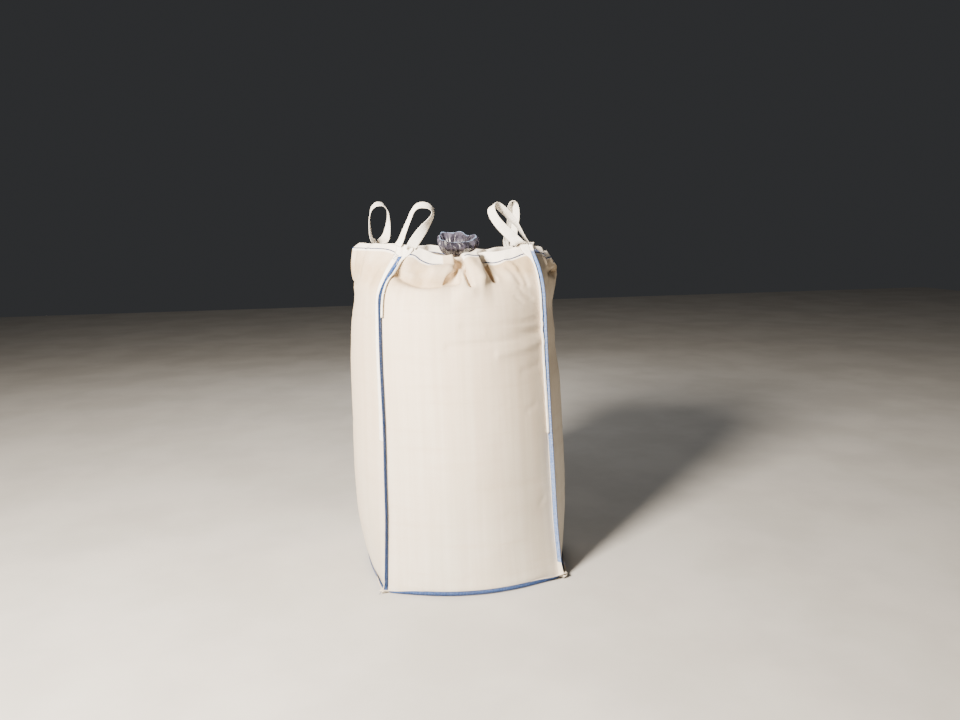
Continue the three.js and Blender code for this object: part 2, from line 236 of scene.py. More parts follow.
# How far out and down those stitches are where the two numbers are left out.
HEM_LEAN = ((20, 36), (20, 34), (16, 36), (32, 24))
TOP_EDGE = (
    (  # front: a folded-down stretch, then a deep pleat with a flap, then a dip
        (-262, 306, 1636, 322, 1598), (-236, 308, 1634, 324, 1594), (-206, 310, 1628, 330, 1571),
        (-166, 312, 1612, 334, 1552), (-128, 316, 1596, 338, 1547), (-88, 320, 1592, 342, 1546),
        (-52, 318, 1597, 338, 1548), (-45, 284, 1590, 300, 1545), (-28, 266, 1586, 284, 1542),
        (-14, 290, 1588, 316, 1554), (-14, 312, 1592, 350, 1570), (20, 318, 1604, 357, 1583),
        (54, 318, 1613, 356, 1591), (76, 310, 1615, 348, 1595), (80, 288, 1608, 316, 1580),
        (94, 266, 1602, 288, 1560), (122, 272, 1603, 296, 1552), (152, 288, 1603, 310, 1553),
        (190, 298, 1609, 318, 1562), (226, 302, 1617, 320, 1569), (252, 304, 1627, 320, 1578),
        (282, 302, 1638, 321, 1590),
    ),
    (  # right: flops outwards in crumpled folds
        (-272, 350, 1626), (-250, 392, 1616), (-230, 372, 1594), (-200, 432, 1600),
        (-180, 402, 1572), (-150, 462, 1582), (-124, 436, 1552), (-76, 484, 1562),
        (-44, 452, 1542), (2, 484, 1554), (46, 446, 1540), (96, 476, 1554), (136, 440, 1546),
        (178, 430, 1560), (222, 400, 1562), (266, 404, 1594), (310, 374, 1606),
    ),
    (  # back: gathered, leaning in
        (-314, 354, 1608), (-268, 338, 1606), (-226, 356, 1598), (-190, 324, 1599),
        (-146, 318, 1604), (-104, 348, 1606), (-62, 352, 1608), (-34, 318, 1612), (8, 306, 1616),
        (50, 334, 1623), (98, 352, 1628), (136, 326, 1626), (184, 324, 1624), (232, 352, 1632),
        (286, 366, 1640), (346, 382, 1640),
    ),
    (  # left: stands wide and upright
        (-352, 412, 1640), (-300, 438, 1646), (-246, 446, 1650), (-190, 474, 1652),
        (-128, 482, 1652), (-74, 462, 1650), (-30, 468, 1650), (24, 482, 1651), (78, 462, 1652),
        (118, 430, 1652), (164, 416, 1652), (206, 378, 1650), (238, 340, 1648), (264, 306, 1640),
    ),
)
FOLD_ROW = (12.6, 13.4, 13.0, 13.6)    # where each side's folds have run out
FOLD_POWER = (1.15, 1.2, 1.2, 1.1)


def top_edge(side):
    """A side's top edge and the line of its hem's stitches below, as a function of a share of the
    edge's length."""
    def corner(which, sign):
        x, y, z, hem_x, hem_y, hem_z = np.array(CORNER_TOP[which] + CORNER_HEM[which]) / 1000
        if side % 2:
            x, y, hem_x, hem_y = y, x, hem_y, hem_x
        return (sign * x, -y, z, sign * hem_x, -hem_y, hem_z)

    route = [corner(side - 1, -1)]
    lean_out, lean_down = np.array(HEM_LEAN[side]) / 1000
    for station in TOP_EDGE[side]:
        along, out, height, *hem = np.array(station) / 1000
        hem_out, hem_height = hem or (out + lean_out, height - lean_down)
        route.append((along, -out, height, along, -hem_out, hem_height))
    return by_length(smooth_curve([*route, corner(side, 1)]))[0]


TOP_EDGES = [top_edge(side) for side in range(4)]


def folded_side(side, across, row):
    """A point of a side with the folds of its top, before its wrinkles."""
    across, row = together(across, row)
    lines = TOP_EDGES[side]((1 + across) / 2)
    top, hem = lines[..., :3], lines[..., 3:]
    shift = hem - plain_side(side, across, np.full_like(row, HEM_ROW))
    growth = np.clip((row - FOLD_ROW[side]) / (HEM_ROW - FOLD_ROW[side]), 0, 1) ** FOLD_POWER[side]
    above = np.clip((row - HEM_ROW) / (ROWS - HEM_ROW), 0, 1)
    plain = plain_side(side, across, np.minimum(row, HEM_ROW))
    return plain + shift * growth[..., None] + (top - hem) * above[..., None]


def outwards(side, across, row):
    """The direction square to a folded side, away from the bag."""
    across, row = together(across, row)
    step, row_step = 0.004, 0.02
    sideways = folded_side(side, across + step, row) - folded_side(side, across - step, row)
    low, high = np.maximum(row - row_step, 0), np.minimum(row + row_step, ROWS)
    upwards = folded_side(side, across, high) - folded_side(side, across, low)
    return unit(np.cross(sideways, upwards))


# Marks in the cloth, in millimetres. Each runs through points of a side's front view (along the
# side, height), and has a depth, negative where it presses inwards, and a width.
FRONT_MARKS = (
    # a dent under the left of the hem, with a pillow above its right half
    (((-330, 1530), (-300, 1504), (-262, 1488), (-223, 1478), (-178, 1476),
      (-125, 1481), (-63, 1490)), -36, 22),
    (((-290, 1545), (-240, 1532), (-210, 1506)), -14, 26),
    (((-148, 1520), (-80, 1524)), 24, 28),
    (((-240, 1438), (-120, 1434), (0, 1438)), 8, 30),
    # the deep pleats at both sides of the flap
    (((-38, 1598), (-22, 1560), (-12, 1522), (6, 1466)), -30, 10.5),
    (((78, 1604), (96, 1550), (108, 1516), (126, 1482)), -30, 11),
    (((10, 1580), (40, 1530), (66, 1492)), 14, 26),
    # shallow folds in the shade of the right half
    (((140, 1540), (165, 1495)), -10, 28),
    (((200, 1535), (228, 1500), (250, 1462)), -5, 13),
    (((240, 1545), (268, 1505), (284, 1455)), -5, 12),
    (((195, 1560), (236, 1530)), 7, 14),
    (((240, 1440), (262, 1412), (300, 1390)), -2.6, 10),
    (((215, 1400), (250, 1372)), -2, 9),
    (((-50, 1279), (130, 1277), (345, 1281)), -7, 8),
    (((72, 1247), (200, 1243), (344, 1244)), -7, 7),
    (((-119, 1187), (120, 1204), (344, 1229)), -9, 9),
    (((120, 1145), (250, 1160), (344, 1180)), 6, 16),
    (((-300, 1345), (-140, 1338), (20, 1344)), -1.4, 8),
    (((241, 1054), (330, 1072)), -3, 10),
    (((259, 859), (309, 884)), -2.6, 9),
    (((324, 390), (353, 417)), -2.4, 9),
    (((-330, 700), (-100, 706), (120, 700)), -1.2, 8),
    (((-20, 500), (160, 493), (330, 500)), -1, 8),
)


def random_marks(side):
    """Creases from storage and pulls from the seams, the same on every run."""
    draw = np.random.default_rng(40 + side)
    near_seam = 0.355
    marks = []
    for _ in range(9):
        height = draw.uniform(0.25, 1.36)
        middle, reach = draw.uniform(-0.22, 0.22), draw.uniform(0.10, 0.22)
        tilt, sway = draw.uniform(-0.012, 0.012), draw.uniform(-0.004, 0.004)
        ends = (middle - reach, height - tilt), (middle + reach, height + tilt)
        route = (ends[0], (middle, height + sway), ends[1])
        marks.append((route, draw.uniform(-0.0024, -0.0010), draw.uniform(0.006, 0.009)))
    for _ in range(10):
        end = draw.choice((-1, 1))
        height, rise = draw.uniform(0.15, 1.36), draw.uniform(-0.04, 0.02)
        reach = draw.uniform(0.05, 0.10)
        route = ((end * near_seam, height), (end * (near_seam - reach), height + rise))
        marks.append((route, draw.uniform(-0.0034, -0.0018), draw.uniform(0.008, 0.012)))
    return tuple(marks)


def short_creases(side):
    """Many short shallow creases, most of them level, as woven tape cloth keeps from its folding."""
    draw = np.random.default_rng(80 + side)
    creases = []
    for _ in range(46):
        x, z = draw.uniform(-0.36, 0.36), draw.uniform(0.12, 1.42)
        turn, reach = draw.normal(0.0, 0.28), draw.uniform(0.015, 0.055)
        step = reach * math.cos(turn), reach * math.sin(turn)
        route = ((x - step[0], z - step[1]), (x + step[0], z + step[1]))
        creases.append((route, draw.uniform(-0.0013, 0.0007), draw.uniform(0.005, 0.010)))
    return tuple(creases)


def top_folds(side):
    """Folds that run down from the gathered top edge of the sides that the photograph hides."""
    draw = np.random.default_rng(120 + side)
    top = 1.61 if side == 3 else 1.58
    folds = []
    for along in np.linspace(-0.26, 0.26, 7):
        x, reach = along + draw.uniform(-0.03, 0.03), draw.uniform(0.07, 0.15)
        lean = draw.uniform(-0.04, 0.04)
        route = ((x, top), (x + lean * 0.6, top - reach * 0.5), (x + lean, top - reach))
        folds.append((route, draw.uniform(-0.016, -0.006), draw.uniform(0.010, 0.018)))
    reach = 0.06
    for _ in range(4):
        x, z = draw.uniform(-0.26, 0.26), draw.uniform(1.44, 1.50)
        start_z, end_z = z + draw.uniform(-0.02, 0.02), z + draw.uniform(-0.02, 0.02)
        route = ((x - reach, start_z), (x, z), (x + reach, end_z))
        folds.append((route, draw.uniform(-0.014, -0.006), draw.uniform(0.014, 0.022)))
    return tuple(folds)


RIGHT_MARKS = (
    (((-280, 1295), (20, 1285)), -16, 85),
    (((-300, 1120), (50, 1120)), -16, 120),
)


def in_metres(marks):
    return tuple((np.array(route) / 1000, depth / 1000, width / 1000) for route, depth, width in marks)


MARKS = (
    in_metres(FRONT_MARKS) + short_creases(0),
    in_metres(RIGHT_MARKS) + random_marks(1) + short_creases(1) + top_folds(1),
    random_marks(2) + short_creases(2) + top_folds(2),
    random_marks(3) + short_creases(3) + top_folds(3),
)


def rough(x, y, seed):
    """Smooth noise from -1 to 1 at each pair of numbers."""
    flat = np.stack([np.ravel(x), np.ravel(y)], axis=-1)
    values = [noise.noise(Vector((a, b, seed))) for a, b in flat]
    return np.reshape(values, np.shape(x))


def distance_to(route, x, y):
    """How far points are from a route of straight stretches."""
    place = np.stack([x, y], axis=-1)
    far_away = 9.0
    nearest = np.full(np.shape(x), far_away)
    for start, end in zip(route[:-1], route[1:]):
        start, end = np.array(start), np.array(end)
        step = end - start
        share = np.clip(((place - start) @ step) / (step @ step), 0, 1)
        nearest = np.minimum(nearest, np.linalg.norm(place - start - share[..., None] * step, axis=-1))
    return nearest


HALF_SIDE = 0.40       # from a side's middle to its seam, as the cloth's patterns count it
# The cloth's swells, bands and dimples: how deep, how fine along the side and up it, and a seed.
UNEVEN = ((0.0048, 4.2, 2.6, 0.0), (0.0006, 13.0, 1.6, 2.0), (0.0012, 8.0, 11.0, 3.0))
SEAM_RIPPLE, RIPPLE_REACH = 0.0030, 0.045
CRUMPLE, SMALL_CRUMPLE = 0.0075, 0.0028
CRUMPLE_ROWS = (13.4, 17.0)     # the crumples start at the first row and are full at the second
PINNED = 0.012                  # so near to a seam its stitches hold the cloth


def relief(side, across, row):
    """How far the cloth stands out of its smooth shape: swells, creases, pulls and crumples."""
    across, row = together(across, row)
    along = across * HALF_SIDE
    height = np.interp(row, ROW_AT, HEIGHT_AT)
    seed = 7.3 * side
    out = sum(depth * rough(along * fine, height * high, seed + shift)
              for depth, fine, high, shift in UNEVEN)
    seen = folded_side(side, across, row)
    for route, depth, width in MARKS[side]:
        out = out + depth * np.exp(-(distance_to(route, seen[..., 0], seen[..., 2]) / width) ** 2)
    # The seam draws the cloth in at its stitches, in short uneven ripples.
    from_seam = (1 - np.abs(across)) * HALF_SIDE
    ripples = rough(height * 26.0 + along * 12.0, np.sign(across) + 3.0, seed + 4.0)
    out = out + SEAM_RIPPLE * ripples * np.exp(-from_seam / RIPPLE_REACH)
    # Above the fill nothing holds the cloth, and it crumples.
    crumple = rough(along * 9.0 + height * 5.0, height * 8.0, seed + 5.0)
    small = rough(along * 24.0 - height * 14.0, height * 13.0, seed + 6.0)
    out = out + ease(row, *CRUMPLE_ROWS) * (CRUMPLE * crumple + SMALL_CRUMPLE * small)
    return out * (ease(from_seam, 0.0, PINNED) * ease(row, 0.0, 0.5))


# Where dust and painted shade lie on the front, as its front view shows: a middle, two radii, and how
# thick.
FRONT_DUST_AND_SHADE = (
    ((-0.190, 1.480), (0.100, 0.026), 0.95),
    ((-0.215, 1.540), (0.060, 0.034), 0.60),
    ((0.185, 1.560), (0.100, 0.042), 1.10),
    ((0.036, 1.540), (0.034, 0.036), 0.40),
    ((0.290, 1.535), (0.060, 0.060), 0.90),
    ((-0.330, 1.500), (0.030, 0.060), 0.50),
)
LEFT_PAINTED_SHADE, LEFT_BAND = 0.22, 0.50   # painted shade over the whole left side, and dust in a band round its shoulder
LEFT_BAND_HEIGHT, LEFT_BAND_WIDTH = 1.520, 0.060
DEEP, FULL_DEPTH = 0.005, 0.022     # how deep a fold is that holds some dust and painted shade, and the most
# How much dust and painted shade the deep folds of each side hold.
FOLD_DUST_AND_SHADE = (0.35, 0.20, 0.20, 0.20)
SHOULDER = 1.38                     # the height above which dust and painted shade lie in folds


def dust_and_shade_in_folds(side, across, row):
    """A share of dust and painted shade on the cloth: both gather in the deep folds, lie in patches on
    the front, and the left side has painted shade all over.
    """
    seen = folded_side(side, across, row)
    x, z = seen[..., 0], seen[..., 2]
    dust = np.zeros(np.shape(across))
    for route, depth, width in MARKS[side]:
        # Deep folds above the shoulder hold dust and painted shade.
        if depth < -DEEP and min(height for _, height in route) > SHOULDER:
            amount = FOLD_DUST_AND_SHADE[side] * min(1.0, -depth / FULL_DEPTH)
            dust = dust + amount * np.exp(-(distance_to(route, x, z) / width) ** 2)
    # The left side: painted shade over all of it, and dust in a band round its shoulder.
    if side == 3:
        band = np.exp(-((z - LEFT_BAND_HEIGHT) / LEFT_BAND_WIDTH) ** 2)
        dust = dust + LEFT_PAINTED_SHADE + LEFT_BAND * band
    # Patches of dust and painted shade on the front.
    for (middle_x, middle_z), (wide, high), amount in FRONT_DUST_AND_SHADE if side == 0 else ():
        dust = dust + amount * np.exp(-((x - middle_x) / wide) ** 2 - ((z - middle_z) / high) ** 2)
    return np.clip(dust, 0, 1)


def skin(side, across, row, lift=0.0):
    """A point of a side's outer face, or one that stands lift above it."""
    across, row = together(across, row)
    out = outwards(side, across, row)
    height = relief(side, across, row) + lift
    return folded_side(side, across, row) + out * height[..., None]


# Where a corner seam's two layers stand out: the direction away from the bag, and square to it.
# Each seam leans a little to one side of its corner's diagonal, and wavers.
SEAM_WAVER = 6.0       # degrees
SEAM_ANGLE_ROWS = (0.0, 1.5, 5.0, 11.0, 15.0, 17.0, 19.0)
SEAM_ANGLES = (  # degrees from the way along the corner's left side, at those rows
    (-50, -50, -40, -34, -30, -36, -55),
    (-45, -52, -56, -50, -54, -48, -45),
    (-45, -36, -34, -40, -42, -45, -45),
    (-70, -46, -26, -36, -50, -66, -92),
)


def seam_frame(corner, row):
    """In the frame of the side on a corner's left: a seam's middle line, its way out, and the
    direction from its middle to the left side's layer."""
    row = np.asarray(row, float)
    line = folded_side(corner, np.ones_like(row), row)
    height = np.interp(row, ROW_AT, HEIGHT_AT)
    waver = SEAM_WAVER * rough(height * 3.1, np.zeros_like(height), 50.0 + corner)
    angle = np.interp(row, SEAM_ANGLE_ROWS, SEAM_ANGLES[corner]) + waver * ease(row, 0.2, 1.0)
    cos, sin = np.cos(np.radians(angle)), np.sin(np.radians(angle))
    level = np.zeros_like(angle)
    return line, np.stack([cos, sin, level], axis=-1), np.stack([sin, -cos, level], axis=-1)


FOOT_LIFT = 0.0009     # of a side panel's foot, which lies on the base panel's edge
FOOT_TILT, MIDDLE_TILT = 42, 30     # degrees at the corners, and how much more along the middle
UP = np.array([0.0, 0.0, 1.0])
FLAT = np.array([1.0, 1.0, 0.0])


def foot_frame(side, across):
    """The way a side's foot seam stands out, and square to it. It stands up along the middle and
    lies flatter towards the corners."""
    across = np.asarray(across, float)
    out = unit(outwards(side, across, np.zeros_like(across)) * FLAT)
    tilt = FOOT_TILT + MIDDLE_TILT * ease(1 - np.abs(across), 0.05, 0.35)
    tilt = np.radians(tilt)[..., None]
    return out * np.cos(tilt) + UP * np.sin(tilt), UP * np.cos(tilt) - out * np.sin(tilt)


# A panel's mesh: how many cells each stretch of cloth has upwards, and across.
FOOT_ROWS, BODY_ROWS, TOP_ROWS, TURN_ROWS, HEM_ROWS = 2, 86, 92, 3, 6
PANEL_ROWS = FOOT_ROWS + BODY_ROWS + TOP_ROWS + TURN_ROWS + HEM_ROWS
FIN_COLUMNS = 3
PANEL_COLUMNS = 118
TURN = 0.0022          # length of the cloth's turn over the top edge
TOP_START = 1.300      # length of cloth up to the finer rows of the top
SEAM_CELL = 0.003      # width of the cells beside a seam


def in_scene(name, data):
    made = bpy.data.objects.new(name, data)
    bpy.context.collection.objects.link(made)
    return made


def mesh_of(name, shape):
    """A bmesh's own mesh."""
    mesh = bpy.data.meshes.new(name)
    shape.to_mesh(mesh)
    shape.free()
    return mesh


def vertices(mesh):
    flat = np.empty(len(mesh.vertices) * 3)
    mesh.vertices.foreach_get("co", flat)
    return flat.reshape(-1, 3)


def move_vertices(mesh, places):
    mesh.vertices.foreach_set("co", np.ascontiguousarray(places).ravel())


def grid_piece(name, columns, rows, place, cloth_size, **marks):
    """A sheet that place() bends into shape, with a UV map in metres of cloth, and marks that its
    material reads: each a name and a function of the same two shares as place()."""
    shape = bmesh.new()
    bmesh.ops.create_grid(shape, x_segments=columns, y_segments=rows, size=0.5)
    mesh = mesh_of(name, shape)
    share = vertices(mesh)[:, :2] + 0.5
    move_vertices(mesh, place(share[:, 0], share[:, 1]))
    corner_vertex = np.empty(len(mesh.loops), dtype=np.int32)
    mesh.loops.foreach_get("vertex_index", corner_vertex)
    mesh.uv_layers.new(name="cloth")
    mesh.uv_layers["cloth"].data.foreach_set("uv", (share * cloth_size)[corner_vertex].ravel())
    for mark, values in marks.items():
        layer = mesh.attributes.new(mark, "FLOAT", "POINT")
        layer.data.foreach_set("value", np.asarray(values(share[:, 0], share[:, 1]), dtype=np.float32))
    return add_piece(name, mesh)


def add_piece(name, mesh):
    mesh.shade_smooth()
    mesh.update()
    piece = in_scene(name, mesh)
    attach(piece, "root")
    return piece


def give_thickness(piece, thickness, offset=-1.0):
    wall = piece.modifiers.new("wall", "SOLIDIFY")
    wall.thickness = thickness
    wall.offset = offset


def on_cut_cloth(u, v):
    """Where a vertex of a panel's mesh is on its cut cloth, in metres from its corner seam on the
    left and from its foot."""
    last = PANEL_COLUMNS - FIN_COLUMNS
    columns = (0, FIN_COLUMNS, FIN_COLUMNS + 1, last - 1, last, PANEL_COLUMNS)
    widths = (-FIN, 0.0, SEAM_CELL, CUT_WIDTH - SEAM_CELL, CUT_WIDTH, CUT_WIDTH + FIN)
    lines = np.cumsum((0, FOOT_ROWS, BODY_ROWS, TOP_ROWS, TURN_ROWS, HEM_ROWS))
    lengths = (-FOOT_FIN, 0.0, TOP_START, SIDE_LENGTH, SIDE_LENGTH + TURN, SIDE_LENGTH + TURN + HEM)
    return np.interp(u * PANEL_COLUMNS, columns, widths), np.interp(v * PANEL_ROWS, lines, lengths)


def across_and_row(cut, length):
    """The same place on the bag: across a side and its row."""
    inside = np.maximum(length - SIDE_LENGTH - TURN, 0)
    row = row_at_length(np.clip(length, 0, SIDE_LENGTH) - inside)
    return -1 + 2 * (np.clip(cut, 0, CUT_WIDTH) + FIN_HALF_GAP) / (CUT_WIDTH + 2 * FIN_HALF_GAP), row


# A panel's dust and painted shade, by its cut cloth.
def panel_dust_and_shade(side):
    def dust(u, v):
        cut, length = on_cut_cloth(u, v)
        return dust_and_shade_in_folds(side, *across_and_row(cut, length)) * (length < SIDE_LENGTH)
    return dust


TUCK = (-0.108, -0.008)    # where the front's hem is tucked in, along its top edge
HEM_EDGE = 0.058, 0.050    # how far below the top edge the clean hem starts, and is full
SEAM_BEND = 0.008          # so near to a seam the cloth bends to the seam's own layer
SLACK = 0.0006             # how much the two layers of an allowance close up at its edge
EAR = 0.35                 # how much the allowance spreads below the end of the stitches
EAR_TOP, EAR_FULL = 0.075, 0.015


def hem_share(side):
    """1 on the folded hem, which stays cleaner than the cloth below its stitches."""
    def share(u, v):
        cut, length = on_cut_cloth(u, v)
        hem = ease(length, SIDE_LENGTH - HEM_EDGE[0], SIDE_LENGTH - HEM_EDGE[1])
        if side == 0:
            x = folded_side(side, *across_and_row(cut, length))[:, 0]
            hem = hem * (1 - ease(x, TUCK[0], TUCK[0] + 0.008) * ease(x, TUCK[1], TUCK[1] - 0.004))
        return hem
    return share


def panel_place(side):
    """The shape of one side panel, from its cut cloth."""
    def place(u, v):
        cut, length = on_cut_cloth(u, v)
        across, row = across_and_row(cut, length)
        on_cut = np.clip(cut, 0, CUT_WIDTH)

        # The turn over the top edge is half a circle, and the hem behind lies close.
        turn = np.clip((length - SIDE_LENGTH) / TURN, 0, 1)
        half_turn = turn * math.pi
        out = outwards(side, across, row)
        points = skin(side, across, row) + out * (TURN / 2 * (np.cos(half_turn) - 1))[:, None]
        points[:, 2] += TURN / 2 * np.sin(half_turn)

        # Near a seam the cloth bends to the seam's own layer, and the allowance stands out.
        for end, corner, beyond, from_seam in (
                (-1, (side - 1) % 4, np.maximum(-cut, 0), on_cut),
                (1, side, np.maximum(cut - CUT_WIDTH, 0), CUT_WIDTH - on_cut)):
            middle, away, left = seam_frame(corner, row)
            layer = left if end > 0 else -left
            # Below the end of the stitches the allowance spreads into a small ear.
            ear = EAR * ease(length, EAR_TOP, EAR_FULL) * ease(length, -0.02, 0.01)
            beyond = beyond * (1 + ear)
            if end < 0:
                middle, away, layer = (turned(x, 3) for x in (middle, away, layer))
            fold = middle + layer * FIN_HALF_GAP
            at_fold = folded_side(side, np.full_like(row, end * (1 - 2 * FIN_HALF_GAP / CUT_WIDTH)), row)
            near = np.exp(-from_seam / SEAM_BEND)
            points += (fold - at_fold) * near[:, None] + away * beyond[:, None]
            points += -layer * (SLACK * np.minimum(beyond / FIN, 1) * (turn == 0))[:, None]
        points += foot_frame(side, across)[0] * np.maximum(-length, 0)[:, None]
        points[:, 2] += FOOT_LIFT * ease(row, 0.3, 0.0)
        return turned(points, side)

    return place


def make_panels():
    size = (CUT_WIDTH + 2 * FIN, FOOT_FIN + SIDE_LENGTH + TURN + HEM)
    panels = []
    for side, name in enumerate(SIDES):
        panel = grid_piece(f"cloth_{name}", PANEL_COLUMNS, PANEL_ROWS, panel_place(side), size,
                           dust=panel_dust_and_shade(side), hem=hem_share(side))
        give_thickness(panel, CLOTH)
        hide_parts(f"{name}_panel")
        panels.append(panel)
    return panels


def base_square(x, y):
    """A place in a square, -1 to 1 both ways: its share of the way to the edge, the side of the
    bag that it faces, and where across that side."""
    reach = np.maximum(np.maximum(np.abs(x), np.abs(y)), 1e-9)
    edge_x, edge_y = x / reach, y / reach
    side = np.select([edge_y <= -1 + 1e-9, edge_x >= 1 - 1e-9, edge_y >= 1 - 1e-9], [0, 1, 2], 3)
    return reach, side, np.choose(side, [edge_x, edge_y, -edge_x, -edge_y])


def around(side, place):
    """Points by the side that each is on: place(side, which points) gives them in its frame."""
    placed = np.empty((len(side), 3))
    for i in range(len(SIDES)):
        here = side == i
        placed[here] = turned(place(i, here), i)
    return placed


def shoulder(side, across):
    """The bag's outline at the top of its fill."""
    return around(side, lambda i, here: plain_side(i, across[here], np.full(here.sum(), FILL_TOP_ROW)))


# The heap's profile: a share of the way to the shoulder's outline, and its height above that.
HEAP_SHARES = (0.0, 0.1, 0.28, 0.5, 0.7, 0.86, 0.96, 1.0)
HEAP_HEIGHTS = (0.049, 0.049, 0.046, 0.038, 0.026, 0.012, 0.002, 0.0)
HEAP_FOOT = STATIONS[7, 2]
GRAIN_INSIDE = 0.010       # from the cloth's outer face in to the grain
GRAIN_SHARE = 0.990        # and how much smaller the grain's outline is made then
GRAIN_FOOT = 0.004         # its lowest height
GRAIN_UNEVEN = 0.003


def heap_height(points):
    """How high the grain's heap is under points."""
    x, y = points[:, 0], points[:, 1]
    reach = np.maximum(np.maximum(np.abs(x), np.abs(y)), 1e-6)
    _, side, across = base_square(x / reach, y / reach)
    edge = shoulder(side, across)
    share = np.clip(np.hypot(x, y) / np.hypot(edge[:, 0], edge[:, 1]), 0, 1)
    return HEAP_FOOT + np.interp(share, HEAP_SHARES, HEAP_HEIGHTS)


def grain_place(points):
    """The heap: the inside of the four sides up to the shoulder, and heaped up above it."""
    x, y, z = points.T
    reach, side, across = base_square(x, y)
    row = (z + 1) / 2 * FILL_TOP_ROW
    placed = around(side, lambda i, here: skin(i, across[here], row[here], -GRAIN_INSIDE))
    placed[:, :2] *= GRAIN_SHARE * reach[:, None]
    placed[:, 2] = np.maximum(placed[:, 2], GRAIN_FOOT)
    uneven = GRAIN_UNEVEN * rough(placed[:, 0] * 9, placed[:, 1] * 9, 3.0) * (1 - reach)
    placed[:, 2] = np.where(z > 1 - 1e-6, heap_height(placed) + uneven, placed[:, 2])
    return placed


def make_grain():
    heap = bmesh.new()
    bmesh.ops.create_cube(heap, size=2.0)
    bmesh.ops.subdivide_edges(heap, edges=heap.edges, cuts=31, use_grid_fill=True)
    mesh = mesh_of("grain", heap)
    move_vertices(mesh, grain_place(vertices(mesh)))
    grain = add_piece("grain", mesh)
    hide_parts("fill")
    return grain


BASE_CELLS = 60
BASE_FLANGE_CELLS = 2
BASE_LIFT, BASE_EDGE_LIFT = 0.0003, 0.0005     # above the floor, and how much more at the edge
BASE_THICKNESS = 0.0007


def base_place(u, v):
    """The bottom cloth: flat on the floor, with its allowance turned up all round."""
    flat_share = 1 - 2 * BASE_FLANGE_CELLS / BASE_CELLS
    reach, side, across = base_square(2 * u - 1, 2 * v - 1)
    on_flat = np.minimum(reach / flat_share, 1.0)
    beyond = np.maximum(reach - flat_share, 0) / (1 - flat_share) * FOOT_FIN

    def place(i, here):
        ring = plain_side(i, across[here], np.zeros(here.sum()))
        ring[:, :2] *= on_flat[here, None]
        ring[:, 2] = BASE_LIFT + BASE_EDGE_LIFT * ease(on_flat[here], 0.97, 1.0)
        longer = 1 + 0.5 * ease(np.abs(across[here]), 0.5, 0.9)
        ring += foot_frame(i, across[here])[0] * (beyond[here] * longer)[:, None]
        # At a corner the allowances of two sides make a small ear.
        ring[:, 0] += np.sign(across[here]) * beyond[here] * np.abs(across[here]) ** 40 * 0.8
        return ring

    return around(side, place)


def make_base():
    size = (1.090, 1.090)
    base = grid_piece("cloth_base", BASE_CELLS, BASE_CELLS, base_place, size)
    give_thickness(base, BASE_THICKNESS, offset=1.0)
    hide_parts("base_panel")
    return base


def thread_piece(name, runs, radius, dark=()):
    """One piece of thread: closed tubes along runs of points. Dark numbers the runs of the darker
    thread."""
    curve = bpy.data.curves.new(name, "CURVE")
    curve.dimensions = "3D"
    curve.bevel_depth = radius
    curve.bevel_resolution = 0
    curve.use_fill_caps = True
    for shade in ("first thread", "dark thread"):
        curve.materials.append(bpy.data.materials.get(shade) or bpy.data.materials.new(shade))
    for i, run in enumerate(runs):
        spline = curve.splines.new("POLY")
        spline.material_index = 1 if i in dark else 0
        spline.points.add(len(run) - 1)
        spline.points.foreach_set("co", np.hstack([run, np.ones((len(run), 1))]).ravel())
    line = in_scene(name + "_line", curve)
    seen = bpy.context.evaluated_depsgraph_get()
    mesh = bpy.data.meshes.new_from_object(line.evaluated_get(seen))
    bpy.data.objects.remove(line)
    mesh.name = name
    return add_piece(name, mesh)


DARK_RUNS = (2, 3, 6, 7)   # of an overlock seam: its inner needle stitches and its edge's cords
INNER_STITCH, OUTER_STITCH = 0.04, 0.45    # of a seam's width, from its inner edge outwards
CORD_SPREAD = 0.6                          # of the layers' thickness, from the edge's middle


def overlock(frame_at, ends, width, layers, inner=0.12):
    """The runs of an overlock seam along a line, whose place, way out and way across its layers
    frame_at(length) gives: two threads that zigzag over both faces and round the edge, two rows of
    needle stitches on each face, and two cords along the edge."""
    start, end = ends
    half = layers / 2 + THREAD * 0.8
    near, far = width * inner, width
    step = np.arange(int((end - start) / PITCH) * 4)
    runs = []
    for turn in (0.0, 0.5):
        at = np.minimum(start + (step / 4 + turn) * PITCH, end)
        reach = np.choose(step % 4, [near, far, far, near])
        runs.append((at, reach, np.choose(step % 4, [half, half * 0.8, -half * 0.8, -half])))
    at = np.arange(start, end, PITCH / 2)
    bob = np.where(np.arange(len(at)) % 2 == 0, half + THREAD * 0.9, half - THREAD * 0.7)
    for share in (INNER_STITCH, OUTER_STITCH):
        for face in (1, -1):
            runs.append((at, np.full_like(at, near + width * share), face * bob))
    at = np.arange(start, end, PITCH)
    for face in (-CORD_SPREAD, CORD_SPREAD):
        runs.append((at, np.full_like(at, far + THREAD * 0.3), np.full_like(at, face * layers)))
    placed = []
    for at, reach, face in runs:
        line, away, left = frame_at(at)
        placed.append(line + away * reach[:, None] + left * face[:, None])
    return placed


SEAM_START = (0.078, 0.020, 0.030, 0.004)   # length of cloth below each corner's first stitches
SEAM_END = (0.026, 0.012, 0.012, 0.042)     # and above its last ones
LOOSE_STEPS = 24                            # points of a loose end of thread
LOWEST_THREAD = 0.0025                      # height of a loose end's lowest point


